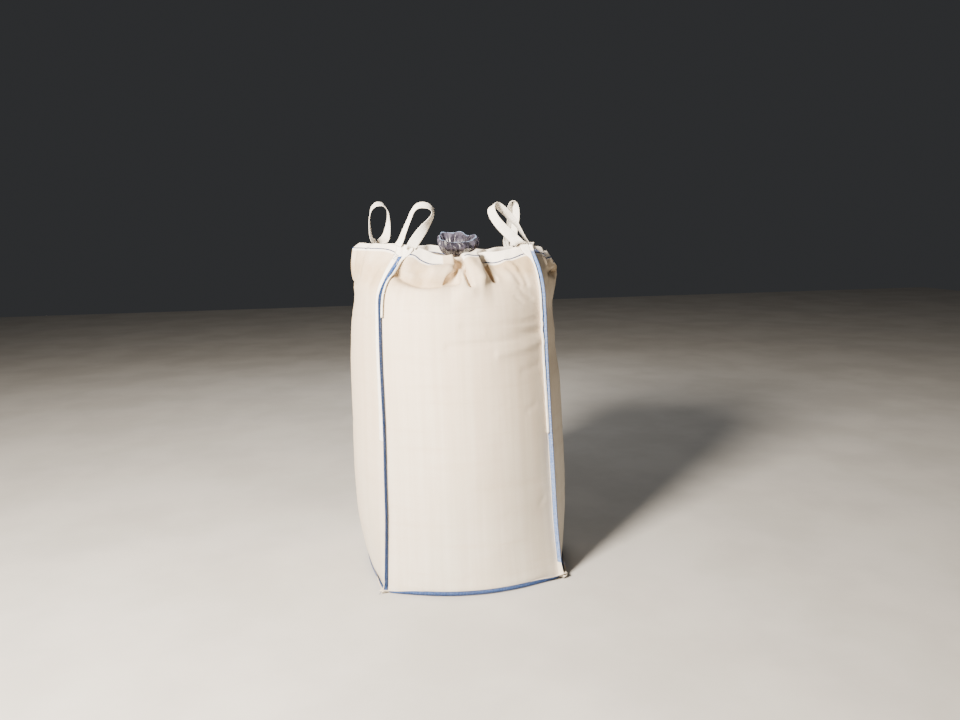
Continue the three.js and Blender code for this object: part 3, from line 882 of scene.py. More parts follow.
def loose_end(corner, length, seed):
    """The chain of thread left hanging where a seam was cut off."""
    line, away, left = (part[0] for part in seam_frame(corner, row_at_length(np.array([length]))))
    turn = np.random.default_rng(seed).uniform(-1, 1, (2, 6))
    share = np.linspace(0, 1, LOOSE_STEPS)[:, None]
    reach = FIN * (0.9 + 1.3 * share) + 0.004 * np.sin(share * 5.0 + turn[0, 0])
    sway = left * (0.012 * turn[0, 1] * share + 0.003 * np.sin(share * 7.0 + turn[0, 2]))
    rise = UP * (0.016 * share * turn[1, 0] + 0.006 * np.sin(share * 4.0))
    points = line + away * reach + sway + rise
    points[:, 2] = np.maximum(points[:, 2], LOWEST_THREAD)
    return turned(points, corner)


def make_corner_seams():
    for corner, name in enumerate(CORNERS):
        def frame_at(length, corner=corner):
            return [turned(part, corner) for part in seam_frame(corner, row_at_length(length))]

        first, last = SEAM_START[corner], SIDE_LENGTH - SEAM_END[corner]
        runs = overlock(frame_at, (first, last), FIN, 2 * FIN_HALF_GAP)
        dark = (*DARK_RUNS, *range(len(runs), len(runs) + 3))
        for length, seed in ((first, 200), (last, 210), (last - 0.006, 220)):
            runs.append(loose_end(corner, length, seed + corner))
        seam = thread_piece(f"seam_{name}", runs, THREAD, dark)
        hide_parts(f"corner_seam_{name}")


FOOT_SEAM_HEIGHT = 0.0022
FOOT_SEAM_INSET = 0.012        # from a corner to the first stitches


def make_base_seams():
    across = np.linspace(-1, 1, 201)
    for side, name in enumerate(SIDES):
        foot = plain_side(side, across, np.zeros_like(across))
        foot[:, 2] = FOOT_SEAM_HEIGHT
        run = run_along(foot)

        def frame_at(length, side=side, run=run, tables=(foot, *foot_frame(side, across))):
            return [turned(read_table(length, run, table), side) for table in tables]

        ends = (FOOT_SEAM_INSET, run[-1] - FOOT_SEAM_INSET)
        runs = overlock(frame_at, ends, FOOT_FIN, 2 * FIN_HALF_GAP, inner=0.14)
        seam = thread_piece(f"foot_seam_{name}", runs, THREAD, DARK_RUNS)
        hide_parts(f"base_seam_{name}")


HEM_THREAD = THREAD * 2.6      # the chain's loops show as one thick thread
HEM_PITCH = 0.0090             # length of a chain stitch
HEM_SWING = 0.0016             # of its thread to both sides
HEM_ENDS = 0.985               # the last stitches' place across a side


def make_hem_stitches():
    """Two rows of blue chain stitches that hold the folded hem, each loop of thread crossing the
    next, outside and inside. None show where the front's hem is tucked in."""
    count = int(CUT_WIDTH / (HEM_PITCH / 2))
    across = np.linspace(-HEM_ENDS, HEM_ENDS, count)
    swing = np.where(np.arange(count) % 2 == 0, 1, -1)
    for side, name in enumerate(SIDES):
        runs = []
        for sign in (1, -1):
            row = HEM_ROW + 0.05 + swing * sign * HEM_SWING / SIDE_LENGTH * ROWS
            outside = skin(side, across, row, THREAD * 0.9)
            inside = skin(side, across, row, -TURN - CLOTH - THREAD * 0.9)
            shown = [outside]
            if side == 0:
                tucked = np.flatnonzero((outside[:, 0] > TUCK[0]) & (outside[:, 0] < TUCK[1]))
                shown = [outside[:tucked[0]], outside[tucked[-1] + 1:]]
            runs += [turned(part, side) for part in (*shown, inside)]
        stitches = thread_piece(f"hem_stitches_{name}", runs, HEM_THREAD, range(len(runs)))


# Lifting loops. Each is one strap of webbing: a short leg sewn to the next side's left edge, the
# free loop, and a long leg sewn to this side's right edge.
STRAP_COLUMNS = 20
LEG_STEP = 0.009           # length of a row of a leg's mesh
CROWN_ROWS = 72            # rows of the free loop's mesh
CROWN_STEPS = 600          # steps of the table that measures it
LEG_LEAD = 0.012           # from a leg's top straight on into the free loop
OPENING = 0.06             # length over which a folded leg opens into the flat loop
BESIDE_SEAM, OFF_SEAM = 0.0012, 0.003      # a leg's edge from its seam's face, and from its line
ABOVE_CLOTH = 0.0006       # least height of a leg over the cloth
UNFOLD_ROWS = (17.6, 19.8) # between them a leg opens from its low width to its width at the hem
FOLD_START = 0.86          # of a layer's width, where the strap turns down to the next layer
# The free loop's middle line, in millimetres, and the direction of its width, in hundredths, in the
# bag's own frame.
CROWNS = (
    (  # front right: folds over sharply at its far end
        (330, -266, 1640, 40, 90, -10), (308, -264, 1662, 12, 98, -12),
        (295, -266, 1682, 5, 99, -12), (268, -272, 1723, -10, 98, -16),
        (245, -276, 1752, -34, 88, -30), (219, -280, 1780, -46, 82, -34),
        (194, -284, 1802, -44, 80, -42), (169, -288, 1820, -36, 80, -48),
        (147, -297, 1825, -38, 84, -40), (133, -308, 1806, -58, 74, -34),
        (140, -316, 1775, -64, 68, -36), (161, -321, 1742, -68, 58, -45),
        (194, -324, 1706, -74, 42, -52), (229, -324, 1673, -80, 24, -55),
        (259, -323, 1646, -88, 12, -46),
    ),
    (  # back right: stands up, its two strands close together, pointed at the top
        (334, 350, 1650, -92, -38, 0), (350, 344, 1690, -86, -50, 0),
        (354, 337, 1735, -84, -54, 0), (354, 333, 1780, -80, -60, 0),
        (353, 330, 1828, -70, -70, 8), (358, 326, 1852, -40, -90, 16),
        (368, 323, 1862, 0, -100, 0), (378, 321, 1850, 36, -92, -10), (384, 319, 1826, 58, -81, 0),
        (385, 318, 1779, 68, -73, 0), (380, 320, 1737, 66, -75, 0), (374, 320, 1690, 56, -82, -10),
        (371, 318, 1645, 48, -86, -20),
    ),
    (  # back left: a narrow arch
        (-414, 334, 1672, -32, -94, 0), (-421, 326, 1725, -20, -97, 0),
        (-420, 320, 1780, -10, -98, -10), (-408, 317, 1828, 0, -92, -36),
        (-378, 318, 1853, 5, -88, -46), (-345, 322, 1850, 5, -92, -36),
        (-323, 328, 1818, 8, -98, -12), (-318, 336, 1775, 25, -96, 0),
        (-324, 348, 1715, 62, -78, 0), (-338, 362, 1670, 88, -46, 0),
    ),
    (  # front left: a teardrop that leans inwards
        (-252, -316, 1632, 100, 2, -4), (-232, -312, 1660, 98, 6, -16),
        (-207, -306, 1692, 92, 22, -30), (-184, -300, 1720, 84, 46, -22),
        (-158, -296, 1752, 58, 80, -10), (-142, -292, 1780, 36, 92, 8),
        (-142, -289, 1804, 28, 90, 30), (-160, -286, 1822, 12, 82, 56),
        (-190, -284, 1828, 8, 78, 62), (-216, -283, 1820, -4, 84, 50),
        (-236, -281, 1797, -22, 94, 20), (-250, -280, 1766, -28, 94, 13),
        (-264, -280, 1736, -32, 94, 12), (-280, -281, 1700, -40, 91, 10),
        (-294, -283, 1666, -48, 86, 14), (-308, -280, 1640, -55, 78, 30),
    ),
)

# How wide a leg shows beside its seam, low down and at the hem: the rest is folded under it. First
# the leg on the next side, then the one on the corner's own side.
LEG_WIDTHS = (
    ((0.020, 0.034), (0.010, 0.044)),
    ((0.020, 0.030), (0.022, 0.032)),
    ((0.020, 0.036), (0.022, 0.036)),
    ((0.010, 0.045), (0.045, 0.046)),
)


def leg_rows(side, end, end_height, widths):
    """One sewn leg, from its lower end up to the hem: the strap's edge beside the seam, the way
    across it and away from the seam, its outward side, and the width that shows."""
    start = np.interp(row_at_height(end_height), ROW_AT, LENGTH_AT)
    row = row_at_length(np.linspace(start, SIDE_LENGTH, int((SIDE_LENGTH - start) / LEG_STEP)))
    half = bag_profile(row / ROWS)[:, 0]
    visible = widths[0] + (widths[1] - widths[0]) * ease(row, *UNFOLD_ROWS)
    middle, away, left = seam_frame(side if end > 0 else (side - 1) % 4, row)
    if end < 0:
        middle, away, left = (turned(x, 3) for x in (middle, away, -left))
    near_point = middle + left * (FIN_HALF_GAP + BESIDE_SEAM) + away * OFF_SEAM
    wide = unit(skin(side, end * (1 - visible / half), row) - near_point)
    across_middle = end * (1 - visible / 2 / half)
    out = square_to(outwards(side, across_middle, row), wide)
    centre = near_point + wide * (visible / 2)[:, None]
    sunk = np.sum((skin(side, across_middle, row) - centre) * out, axis=1)
    return near_point + out * (np.maximum(sunk, 0) + ABOVE_CLOTH)[:, None], wide, out, visible


def strap_rows(corner):
    """A strap's two legs in the bag's own frame, the short one upwards and the long one down."""
    after = (corner + 1) % 4
    *short, short_width = leg_rows(after, -1, SHORT_LEG_END, LEG_WIDTHS[corner][0])
    *long, long_width = leg_rows(corner, 1, LONG_LEG_END, LEG_WIDTHS[corner][1])
    upwards = [*(turned(x, after) for x in short), short_width]
    downwards = [*(turned(x, corner)[::-1] for x in long), long_width[::-1]]
    return upwards, downwards


def leg_top(leg, top, below):
    """The top of a leg's middle line, a point a little further on, and the way across the strap.
    Top and below number the leg's last row and a lower one."""
    edge, wide, out, width = leg
    middle = edge + wide * (width / 2)[:, None]
    point = middle[top] + out[top] * (WEBBING_THICKNESS / 2)
    return point, point + unit(middle[top] - middle[below]) * LEG_LEAD, wide[top]


def crown_rows(corner, first, second):
    """The free loop between two legs: its middle line, width and outward directions, and length.
    The same edge of the strap is beside the seam on both legs."""
    start, lead_out, start_wide = leg_top(first, -1, -3)
    end, lead_in, end_wide = leg_top(second, 0, 2)
    crown = np.array(CROWNS[corner])
    points = [start, lead_out, *(crown[:, :3] / 1000), lead_in, end]
    wides = np.array([start_wide, start_wide, *unit(crown[:, 3:] / 100), end_wide, end_wide])
    path, length = by_length(smooth_curve(points), CROWN_STEPS)
    share = np.linspace(0, 1, CROWN_ROWS + 2)[1:-1]
    # The width's direction follows the same steps as the path.
    steps = np.linspace(0, 1, CROWN_STEPS + 1)
    run = run_along(smooth_curve(points)(steps))
    place = np.interp(share * run[-1], run, steps)
    tangent = unit(path(share + 0.002) - path(share - 0.002))
    wide = square_to(read_table(place, np.linspace(0, 1, len(points)), wides), tangent)
    return path(share), wide, np.cross(wide, tangent), length


def fold_rise(width):
    """How high the middle of a strap's top layer is when the strap is folded to this width."""
    return (2 * WEBBING / width - 1) * WEBBING_THICKNESS / 2


LEG_THREAD = THREAD * 0.6
EDGE_INSET, BAR_INSET = 0.003, 0.004       # from a leg's edges to its rows of stitches, and to its bars
EDGE_PITCH, BAR_PITCH = 0.0085, 0.0032
EDGE_STITCH = np.array([0, 0.0012, 0.0052, 0.0064])        # a stitch's four points: how far along
BAR_STITCH = np.array([0, 0.0008, 0.0022, 0.0030])
STITCH_BOW = np.array([-0.0009, 0.0003, 0.0003, -0.0009])  # and how high


def make_leg_stitches(corner):
    """White stitches that hold a strap's two legs: a row near each edge and bars at the ends."""
    runs = []
    for (edge, wide, out, visible), (width, _) in zip(strap_rows(corner), LEG_WIDTHS[corner]):
        run = run_along(edge)
        sewn = visible < width + 0.003
        first, last = run[sewn].min() + 0.006, run[sewn].max() - 0.004
        rise = fold_rise(width) + WEBBING_THICKNESS * 0.41

        def stitch(at, reach):
            place, way, up = (read_table(at, run, table) for table in (edge, wide, out))
            runs.append(place + way * reach[:, None] + up * (rise + STITCH_BOW[:, None]))

        for reach in (EDGE_INSET, width - EDGE_INSET):
            for at in np.arange(first, last - 0.008, EDGE_PITCH):
                stitch(at + EDGE_STITCH, np.full(4, reach))
        for bar in (first, first + 0.012, last - 0.012, last):
            for reach in np.arange(BAR_INSET, width - 0.006, BAR_PITCH):
                stitch(np.full(4, bar), reach + BAR_STITCH)
    stitches = thread_piece(f"leg_stitches_{CORNERS[corner]}", runs, LEG_THREAD)


def make_loop(corner):
    first, second = strap_rows(corner)
    centre, wide, out, crown_length = crown_rows(corner, first, second)
    share = np.linspace(0, crown_length, len(centre))
    opened = np.minimum(ease(share, 0, OPENING), ease(crown_length - share, 0, OPENING))
    ends = np.where(share < crown_length / 2, first[3][-1], second[3][0])
    width = ends + (WEBBING - ends) * opened
    crown = (centre - wide * (width / 2)[:, None], wide, out, width)
    edges, ways, outs, widths = (np.concatenate(parts) for parts in zip(first, crown, second))
    free = np.concatenate([np.zeros(len(first[0])), opened, np.zeros(len(second[0]))])
    count = len(edges) - 1

    def edge_dust_and_shadow(u, v):
        """Dust and a painted shadow along the outer edge of the sewn legs."""
        row = np.rint(v * count).astype(int)
        return np.exp(-((u * WEBBING - widths[row]) / 0.0024) ** 2) * (1 - free[row])

    def place(u, v):
        """The strap folded under itself, layer by layer, to the width that shows."""
        row = np.rint(v * count).astype(int)
        width = widths[row]
        layer = u * WEBBING / width
        under = np.floor(layer)
        past = layer - under
        turning = ease(past, FOLD_START, 1.0)
        x = np.where(under % 2 == 0, past, 1 - past) * width
        rise = fold_rise(width) * (1 - free[row]) - WEBBING_THICKNESS * (under + turning)
        # The last layer's free edge stays level.
        rise = rise + WEBBING_THICKNESS * turning * (layer >= WEBBING / width - (1 - FOLD_START))
        return edges[row] + ways[row] * x[:, None] + outs[row] * rise[:, None]

    size = (WEBBING, crown_length + LEG_STEP * (len(first[0]) + len(second[0])))
    loop = grid_piece(f"loop_{CORNERS[corner]}", STRAP_COLUMNS, count, place, size, dust=edge_dust_and_shadow)
    give_thickness(loop, WEBBING_THICKNESS * 0.82, offset=0.0)
    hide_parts(f"lift_loop_{CORNERS[corner]}")
    return loop


# The liner: clear film that lies on the grain, is drawn in to a tied neck, and flops open above.
FILM_COLUMNS, FILM_ROWS = 208, 96
FILM_WIDTH, FILM_LENGTH = 3.4, 0.72
FILM_RINGS = np.array([  # half width, half depth, middle across, middle back, height, pleats, lobes
    (0.300, 0.300, 0.000, 0.000, 1.4560, 0.010, 0.004),
    (0.230, 0.230, 0.000, 0.000, 1.4740, 0.014, 0.006),
    (0.150, 0.150, 0.000, 0.000, 1.4960, 0.018, 0.008),
    (0.080, 0.080, 0.000, 0.000, 1.5260, 0.014, 0.006),
    (0.040, 0.040, 0.000, 0.000, 1.5540, 0.006, 0.001),
    (0.033, 0.033, 0.000, 0.000, 1.5680, 0.004, 0.000),
    (0.042, 0.038, 0.000, 0.000, 1.5800, 0.006, 0.001),
    (0.070, 0.052, 0.004, 0.000, 1.5960, 0.0075, 0.003),
    (0.092, 0.064, 0.010, -0.002, 1.6160, 0.0060, 0.006),
    (0.103, 0.072, 0.012, -0.002, 1.6380, 0.0040, 0.009),
    (0.104, 0.074, 0.012, 0.000, 1.6560, 0.0026, 0.010),
    (0.100, 0.071, 0.010, 0.002, 1.6680, 0.0020, 0.010),
    (0.093, 0.066, 0.006, 0.003, 1.6720, 0.0018, 0.010),
    (0.084, 0.060, 0.004, 0.004, 1.6670, 0.0020, 0.009),
    (0.074, 0.052, 0.001, 0.005, 1.6500, 0.0030, 0.008),
    (0.058, 0.042, -0.002, 0.006, 1.6260, 0.0045, 0.006),
    (0.038, 0.030, -0.002, 0.004, 1.6020, 0.0050, 0.003),
])
SKIRT_SHARE = 0.16      # of the film's length lies between the sides and the first ring
SKIRT = 0.925           # of the shoulder's outline is as far as the film reaches
FILM_LIFT = 0.005       # the least height above the grain
FILM_THICKNESS = 0.0005
# How many pleats and lobes go round, their share and their shift, and how much the lobes twist.
FILM_PLEATS = ((17, 0.55, 0.4), (29, 0.35, 1.9), (11, 0.45, 3.0), (43, 0.18, 5.0))
FILM_LOBES = ((3, 0.50, 0.8, 1.2), (5, 0.55, 2.1, -0.8), (7, 0.30, 4.0, 2.0))
MOUTH_HEIGHTS = (1.590, 1.650)      # between them the head widens into its mouth
RIM_AT = 0.79           # of the film's length


def film_place(u, v):
    free = np.clip((v - SKIRT_SHARE) / (1 - SKIRT_SHARE), 0, 1)
    rings = smooth_curve(FILM_RINGS)(free)
    wide, deep, aside, back, height, pleat, lobe = np.moveaxis(rings, -1, 0)
    angle = 2 * math.pi * u
    cos, sin = np.cos(angle), np.sin(angle)
    ripple = np.zeros_like(u)
    for count, share, shift in FILM_PLEATS:
        sway = 1.6 * rough(free * 2.4, np.full_like(v, count), 11.0)
        ripple += share * np.sin(count * angle + shift + sway)
    ripple += 0.5 * rough(cos * 2.2, sin * 2.2 + v * 3.0, 12.0)
    lobes = sum(share * np.sin(count * angle + shift + twist * free)
                for count, share, shift, twist in FILM_LOBES)
    crumple = rough(cos * 2.8 + free * 7.0, sin * 2.8, 15.0)
    above = ease(height, *MOUTH_HEIGHTS)
    spread = pleat * ripple + lobe * lobes + 0.009 * above * crumple
    x = (wide + spread) * cos + aside
    y = (deep + spread) * sin + back
    # The mouth's back stands higher than its front.
    mouth = above * (0.026 * y / 0.07 + 0.006 * lobes + 0.005 * crumple)
    z = height + mouth + 0.15 * pleat * ripple * (1 - above)
    points = np.stack([x, y, z], axis=-1)

    # The outer part lies on the heap and reaches to the four sides.
    _, side, across = base_square(cos, sin)
    outline = shoulder(side, across)
    outline[:, :2] *= SKIRT
    share = np.clip(v / SKIRT_SHARE, 0, 1)
    lift = 0.007 + 0.004 * np.abs(rough(outline[:, 0] * 14 + share * 2, outline[:, 1] * 14, 14.0))
    outline[:, 2] = heap_height(outline) + lift
    lying = outline + (points - outline) * share[:, None]
    lying[:, 2] = np.maximum(lying[:, 2], heap_height(lying) + FILM_LIFT)
    return np.where((v < SKIRT_SHARE)[:, None], lying, points)


def film_rim(u, v):
    """1 along the rolled rim of the film's mouth, where several layers lie together."""
    return ease(np.abs(v - RIM_AT), 0.030, 0.006)


def make_liner():
    size = (FILM_WIDTH, FILM_LENGTH)
    film = grid_piece("liner_film", FILM_COLUMNS, FILM_ROWS, film_place, size, rim=film_rim)
    ring = bmesh.new()
    ring.from_mesh(film.data)
    bmesh.ops.remove_doubles(ring, verts=ring.verts, dist=0.00002)
    ring.to_mesh(film.data)
    ring.free()
    give_thickness(film, FILM_THICKNESS)
    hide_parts("liner")
    return film


TAPE_TURNS, TAPE_WIDTH, TAPE_LENGTH, TAPE_THICKNESS = 2.15, 0.013, 0.52, 0.0008


def make_tie():
    """Tape wound twice round the liner's neck, its end over its start."""
    def place(u, v):
        angle = 2 * math.pi * TAPE_TURNS * v + 0.4
        radius = 0.0385 + 0.0011 * v * TAPE_TURNS + 0.0006 * np.sin(7 * angle)
        height = NECK_HEIGHT + (u - 0.5) * TAPE_WIDTH + 0.002 * np.sin(angle + 1.0)
        return np.stack([radius * np.cos(angle), radius * np.sin(angle), height], axis=-1)

    tie = grid_piece("liner_tape", 5, 150, place, (TAPE_WIDTH, TAPE_LENGTH))
    give_thickness(tie, TAPE_THICKNESS)
    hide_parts("liner_tie")
    return tie


class Value:
    """A node's output that Python's operators work on."""

    def __init__(self, paint, socket):
        self.paint, self.socket = paint, socket

    def math(self, operation, second=0.0):
        return self.paint.math(operation, self, second)

    def __add__(self, other):
        return self.math("ADD", other)

    __radd__ = __add__

    def __sub__(self, other):
        return self.math("SUBTRACT", other)

    def __rsub__(self, other):
        return self.paint.math("SUBTRACT", other, self)

    def __mul__(self, other):
        return self.math("MULTIPLY", other)

    def __truediv__(self, other):
        return self.math("DIVIDE", other)


class Paint:
    """One material, its shader, and short ways to add nodes to it."""

    def __init__(self, name, **constants):
        self.material = bpy.data.materials.new(name)
        self.material.use_nodes = True
        self.tree = self.material.node_tree
        self.shader = self.tree.nodes["Principled BSDF"]
        for socket, value in constants.items():
            self.shader.inputs[socket.replace("_", " ")].default_value = value

    def node(self, kind, settings=None, inputs=None, output=0):
        made = self.tree.nodes.new(kind)
        for key, value in (settings or {}).items():
            setattr(made, key, value)
        for key, value in (inputs or {}).items():
            if isinstance(value, Value):
                self.tree.links.new(value.socket, made.inputs[key])
            else:
                made.inputs[key].default_value = value
        return Value(self, made.outputs[output])

    def math(self, operation, first, second):
        return self.node("ShaderNodeMath", {"operation": operation}, {0: first, 1: second})

    def object_place(self):
        return self.node("ShaderNodeTexCoord", output="Object")

    def cloth_place(self):
        return self.node("ShaderNodeUVMap", {"uv_map": "cloth"})

    def mark(self, name):
        return self.node("ShaderNodeAttribute", {"attribute_name": name}, output="Fac")

    def scaled(self, place, scale):
        return self.node("ShaderNodeMapping", {}, {"Vector": place, "Scale": scale})

    def parts(self, place):
        split = self.tree.nodes.new("ShaderNodeSeparateXYZ")
        self.tree.links.new(place.socket, split.inputs[0])
        return [Value(self, socket) for socket in split.outputs]

    def noise(self, place, scale, detail=3.0, roughness=0.55):
        inputs = {"Vector": place, "Scale": scale, "Detail": detail, "Roughness": roughness}
        return self.node("ShaderNodeTexNoise", {}, inputs)

    def ramp(self, value, low, high, start=0.0, end=1.0):
        """A value's range from low to high made start to end, with soft ends."""
        inputs = {"Value": value, "From Min": low, "From Max": high, "To Min": start, "To Max": end}
        return self.node("ShaderNodeMapRange", {"interpolation_type": "SMOOTHSTEP"}, inputs)

    def mix(self, share, first, second):
        def colour(value):
            return value if isinstance(value, Value) else (*value, 1.0)
        inputs = {0: share, 6: colour(first), 7: colour(second)}
        return self.node("ShaderNodeMix", {"data_type": "RGBA"}, inputs, output=2)

    def set(self, socket, value):
        self.tree.links.new(value.socket, self.shader.inputs[socket])

    def bump(self, height, distance, strength=1.0):
        inputs = {"Height": height, "Distance": distance, "Strength": strength}
        self.set("Normal", self.node("ShaderNodeBump", {}, inputs))


TAPE = 0.0026                  # width of the woven cloth's tapes
RIB, PICK = 0.0032, 0.0021     # widths of the webbing's ribs and picks
# Colours of the cloth, and of what lies on it.
CREAM = (0.695, 0.582, 0.440), (0.770, 0.662, 0.522)
GREY = (0.655, 0.598, 0.505), (0.725, 0.672, 0.582)
LEVEL_STREAK, CLOUD, DARK_TAPE = (0.590, 0.470, 0.335), (0.610, 0.500, 0.370), (0.600, 0.510, 0.410)
# The tan colour stands for grain dust and for painted shade alike.
TAN_DUST_AND_SHADE, FLOOR_DIRT, CLEAN_HEM = (0.455, 0.335, 0.195), (0.480, 0.410, 0.320), (0.960, 0.930, 0.880)


def tapes(paint, place, size):
    """A plain weave's height, and a random tone for each tape."""
    x, y, _ = paint.parts(place)
    x, y = x / size, y / size
    column, line = x.math("FLOOR"), y.math("FLOOR")
    across, along = x.math("FRACT") * 2 - 1, y.math("FRACT") * 2 - 1
    over = (column + line).math("PINGPONG", 1.0)
    warp, weft = ((1 - ridge * ridge) for ridge in (across, along))
    warp_tone, weft_tone = (
        paint.node("ShaderNodeTexWhiteNoise", {"noise_dimensions": "1D"}, {"W": number})
        for number in (column, line + 0.5))
    return warp * over + weft * (1 - over), warp_tone * over + weft_tone * (1 - over)


def cloth_material():
    paint = Paint("woven_cloth", Roughness=0.62, Specular_IOR_Level=0.35, Sheen_Weight=0.08)
    place, cloth = paint.object_place(), paint.cloth_place()
    height, tone = tapes(paint, cloth, TAPE)
    _, _, z = paint.parts(place)
    hem, folds = paint.mark("hem"), paint.mark("dust")
    streaks = paint.ramp(paint.noise(paint.scaled(cloth, (26.0, 1.2, 1.0)), 1.0, 4.0), 0.32, 0.72)
    levels = paint.noise(paint.scaled(cloth, (1.6, 34.0, 1.0)), 1.0, 3.0)
    clouds = paint.noise(place, 3.1, 5.0, 0.6)
    # The cloth is greyer low down and creamier towards the top.
    colour = paint.mix(paint.ramp(z, 0.05, 1.30), paint.mix(streaks, *GREY), paint.mix(streaks, *CREAM))
    colour = paint.mix(paint.ramp(levels, 0.50, 0.74, 0.0, 0.30), colour, LEVEL_STREAK)
    colour = paint.mix(paint.ramp(clouds, 0.36, 0.70, 0.0, 0.30), colour, CLOUD)
    colour = paint.mix(tone * 0.10, colour, DARK_TAPE)
    # Tan grain dust lies on the shoulder; the dust mark adds dust and painted shade in the folds and on
    # the front, and painted shade over the left side.
    patches = paint.ramp(paint.noise(place, 7.0, 6.0, 0.65), 0.34, 0.66)
    dust = paint.ramp(z, 1.34, 1.52) * (patches * 0.30 + 0.12) + folds * (patches * 0.3 + 0.7) * 0.92
    dust = dust.math("MINIMUM", 1.0) * (1 - hem * 0.85)
    colour = paint.mix(dust * 0.85, colour, TAN_DUST_AND_SHADE)
    colour = paint.mix(hem * 0.70, colour, CLEAN_HEM)
    scuffs = paint.ramp(z, 0.16, 0.0) * paint.ramp(paint.noise(place, 16.0, 6.0, 0.7), 0.40, 0.68)
    colour = paint.mix(scuffs * 0.30, colour, FLOOR_DIRT)
    paint.set("Base Color", colour)
    paint.set("Roughness", 0.54 + dust * 0.30 + tone * 0.08)
    paint.bump(height + tone * 0.25, 0.00016, 0.7)
    return paint.material


def webbing_material():
    paint = Paint("webbing", Roughness=0.6, Specular_IOR_Level=0.35)
    place, cloth = paint.object_place(), paint.cloth_place()
    x, y, _ = paint.parts(cloth)
    ribs, picks = ((way * (2 * math.pi / width)).math("SINE") for way, width in ((x, RIB), (y, PICK)))
    clouds = paint.noise(place, 22.0, 5.0, 0.6)
    colour = paint.mix(paint.ramp(clouds, 0.40, 0.76), (0.970, 0.945, 0.890), (0.860, 0.800, 0.700))
    # Painted shade in the grooves between the ribs.
    colour = paint.mix(paint.ramp(ribs, -1.0, 0.2, 0.16, 0.0), colour, (0.600, 0.540, 0.450))
    # Dust and a painted shadow line along the outer edges of the sewn legs.
    colour = paint.mix(paint.mark("dust") * 0.75, colour, (0.330, 0.225, 0.135))
    paint.set("Base Color", colour)
    paint.set("Roughness", 0.56 + clouds * 0.14)
    paint.bump(ribs * 0.6 + picks * 0.4, 0.00035, 0.8)
    return paint.material


THREADS = {  # two tones, and where the thread is worn
    "blue_thread": ((0.030, 0.075, 0.240), (0.065, 0.140, 0.380), (0.200, 0.270, 0.430)),
    # The front right seam's thread: the blue thread painted lighter, as painted light on that seam.
    "painted_lit_blue_thread": ((0.100, 0.200, 0.480), (0.200, 0.330, 0.640), (0.360, 0.440, 0.580)),
    "navy_thread": ((0.012, 0.026, 0.085), (0.028, 0.055, 0.150), (0.090, 0.120, 0.200)),
    "white_thread": ((0.860, 0.830, 0.770), (0.930, 0.910, 0.860), (0.700, 0.640, 0.550)),
}


def thread_material(name, low, high, worn):
    paint = Paint(name, Roughness=0.5, Specular_IOR_Level=0.4)
    place = paint.object_place()
    tone = paint.noise(place, 90.0, 3.0, 0.6)
    wear = paint.noise(place, 9.0, 4.0, 0.6)
    colour = paint.mix(paint.ramp(tone, 0.35, 0.65), low, high)
    colour = paint.mix(paint.ramp(wear, 0.48, 0.76, 0.0, 0.22), colour, worn)
    paint.set("Base Color", colour)
    paint.bump(paint.noise(place, 900.0, 2.0), 0.0002, 0.6)
    return paint.material


def film_material():
    paint = Paint("liner_film", Roughness=0.22, IOR=1.5, Specular_IOR_Level=0.5)
    place = paint.object_place()
    haze = paint.noise(place, 34.0, 4.0, 0.6)
    _, _, z = paint.parts(place)
    rim = paint.mark("rim")
    colour = paint.mix(paint.ramp(haze, 0.38, 0.64), (0.050, 0.044, 0.066), (0.150, 0.142, 0.200))
    dust = paint.ramp(z, 1.63, 1.56) * paint.ramp(haze, 0.30, 0.60)
    colour = paint.mix(dust * 0.8, colour, (0.400, 0.300, 0.190))
    colour = paint.mix(rim * 0.90, colour, (0.360, 0.500, 0.780))
    paint.set("Base Color", colour)
    paint.set("Alpha", 0.34 + rim * 0.50 + haze * 0.20)
    paint.set("Roughness", 0.14 + haze * 0.20)
    paint.bump(paint.noise(place, 70.0, 4.0, 0.6), 0.0020, 0.5)
    return paint.material


def grain_material():
    paint = Paint("grain", Roughness=0.7)
    place = paint.object_place()
    kernels = paint.node("ShaderNodeTexVoronoi", {}, {"Vector": place, "Scale": 190.0})
    tone = paint.noise(place, 60.0, 4.0)
    colour = paint.mix(paint.ramp(tone, 0.35, 0.65), (0.380, 0.235, 0.105), (0.620, 0.430, 0.220))
    # Painted shade in the gaps between the kernels.
    colour = paint.mix(paint.ramp(kernels, 0.25, 0.75, 0.0, 0.55), colour, (0.160, 0.095, 0.040))
    paint.set("Base Color", colour)
    paint.bump(1 - kernels, 0.0030, 0.9)
    return paint.material


def dress(pieces, material):
    for piece in pieces:
        piece.data.materials.clear()
        piece.data.materials.append(material)


grain = make_grain()
panels = make_panels()
base = make_base()
make_corner_seams()
make_base_seams()
make_hem_stitches()
loops = [make_loop(corner) for corner in range(4)]
for corner in range(4):
    make_leg_stitches(corner)
film = make_liner()
tie = make_tie()

cloth = cloth_material()
webbing = webbing_material()
dress([*panels, base], cloth)
dress([*loops, tie], webbing)
dress([film], film_material())
dress([grain], grain_material())
threads = {name: thread_material(name, *tones) for name, tones in THREADS.items()}
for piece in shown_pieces():
    if piece.name.startswith(("seam_", "foot_seam_", "hem_stitches_", "leg_stitches_")):
        first = "blue_thread"
        # The front right seam gets the blue thread painted lighter, as painted light.
        if piece.name == "seam_front_right":
            first = "painted_lit_blue_thread"
        elif piece.name.startswith("leg_stitches_"):
            first = "white_thread"
        piece.data.materials[0], piece.data.materials[1] = threads[first], threads["navy_thread"]


FLOOR_HALF = 14.0
FLOOR_TONES = (0.47, 0.46, 0.44), (0.53, 0.52, 0.50)
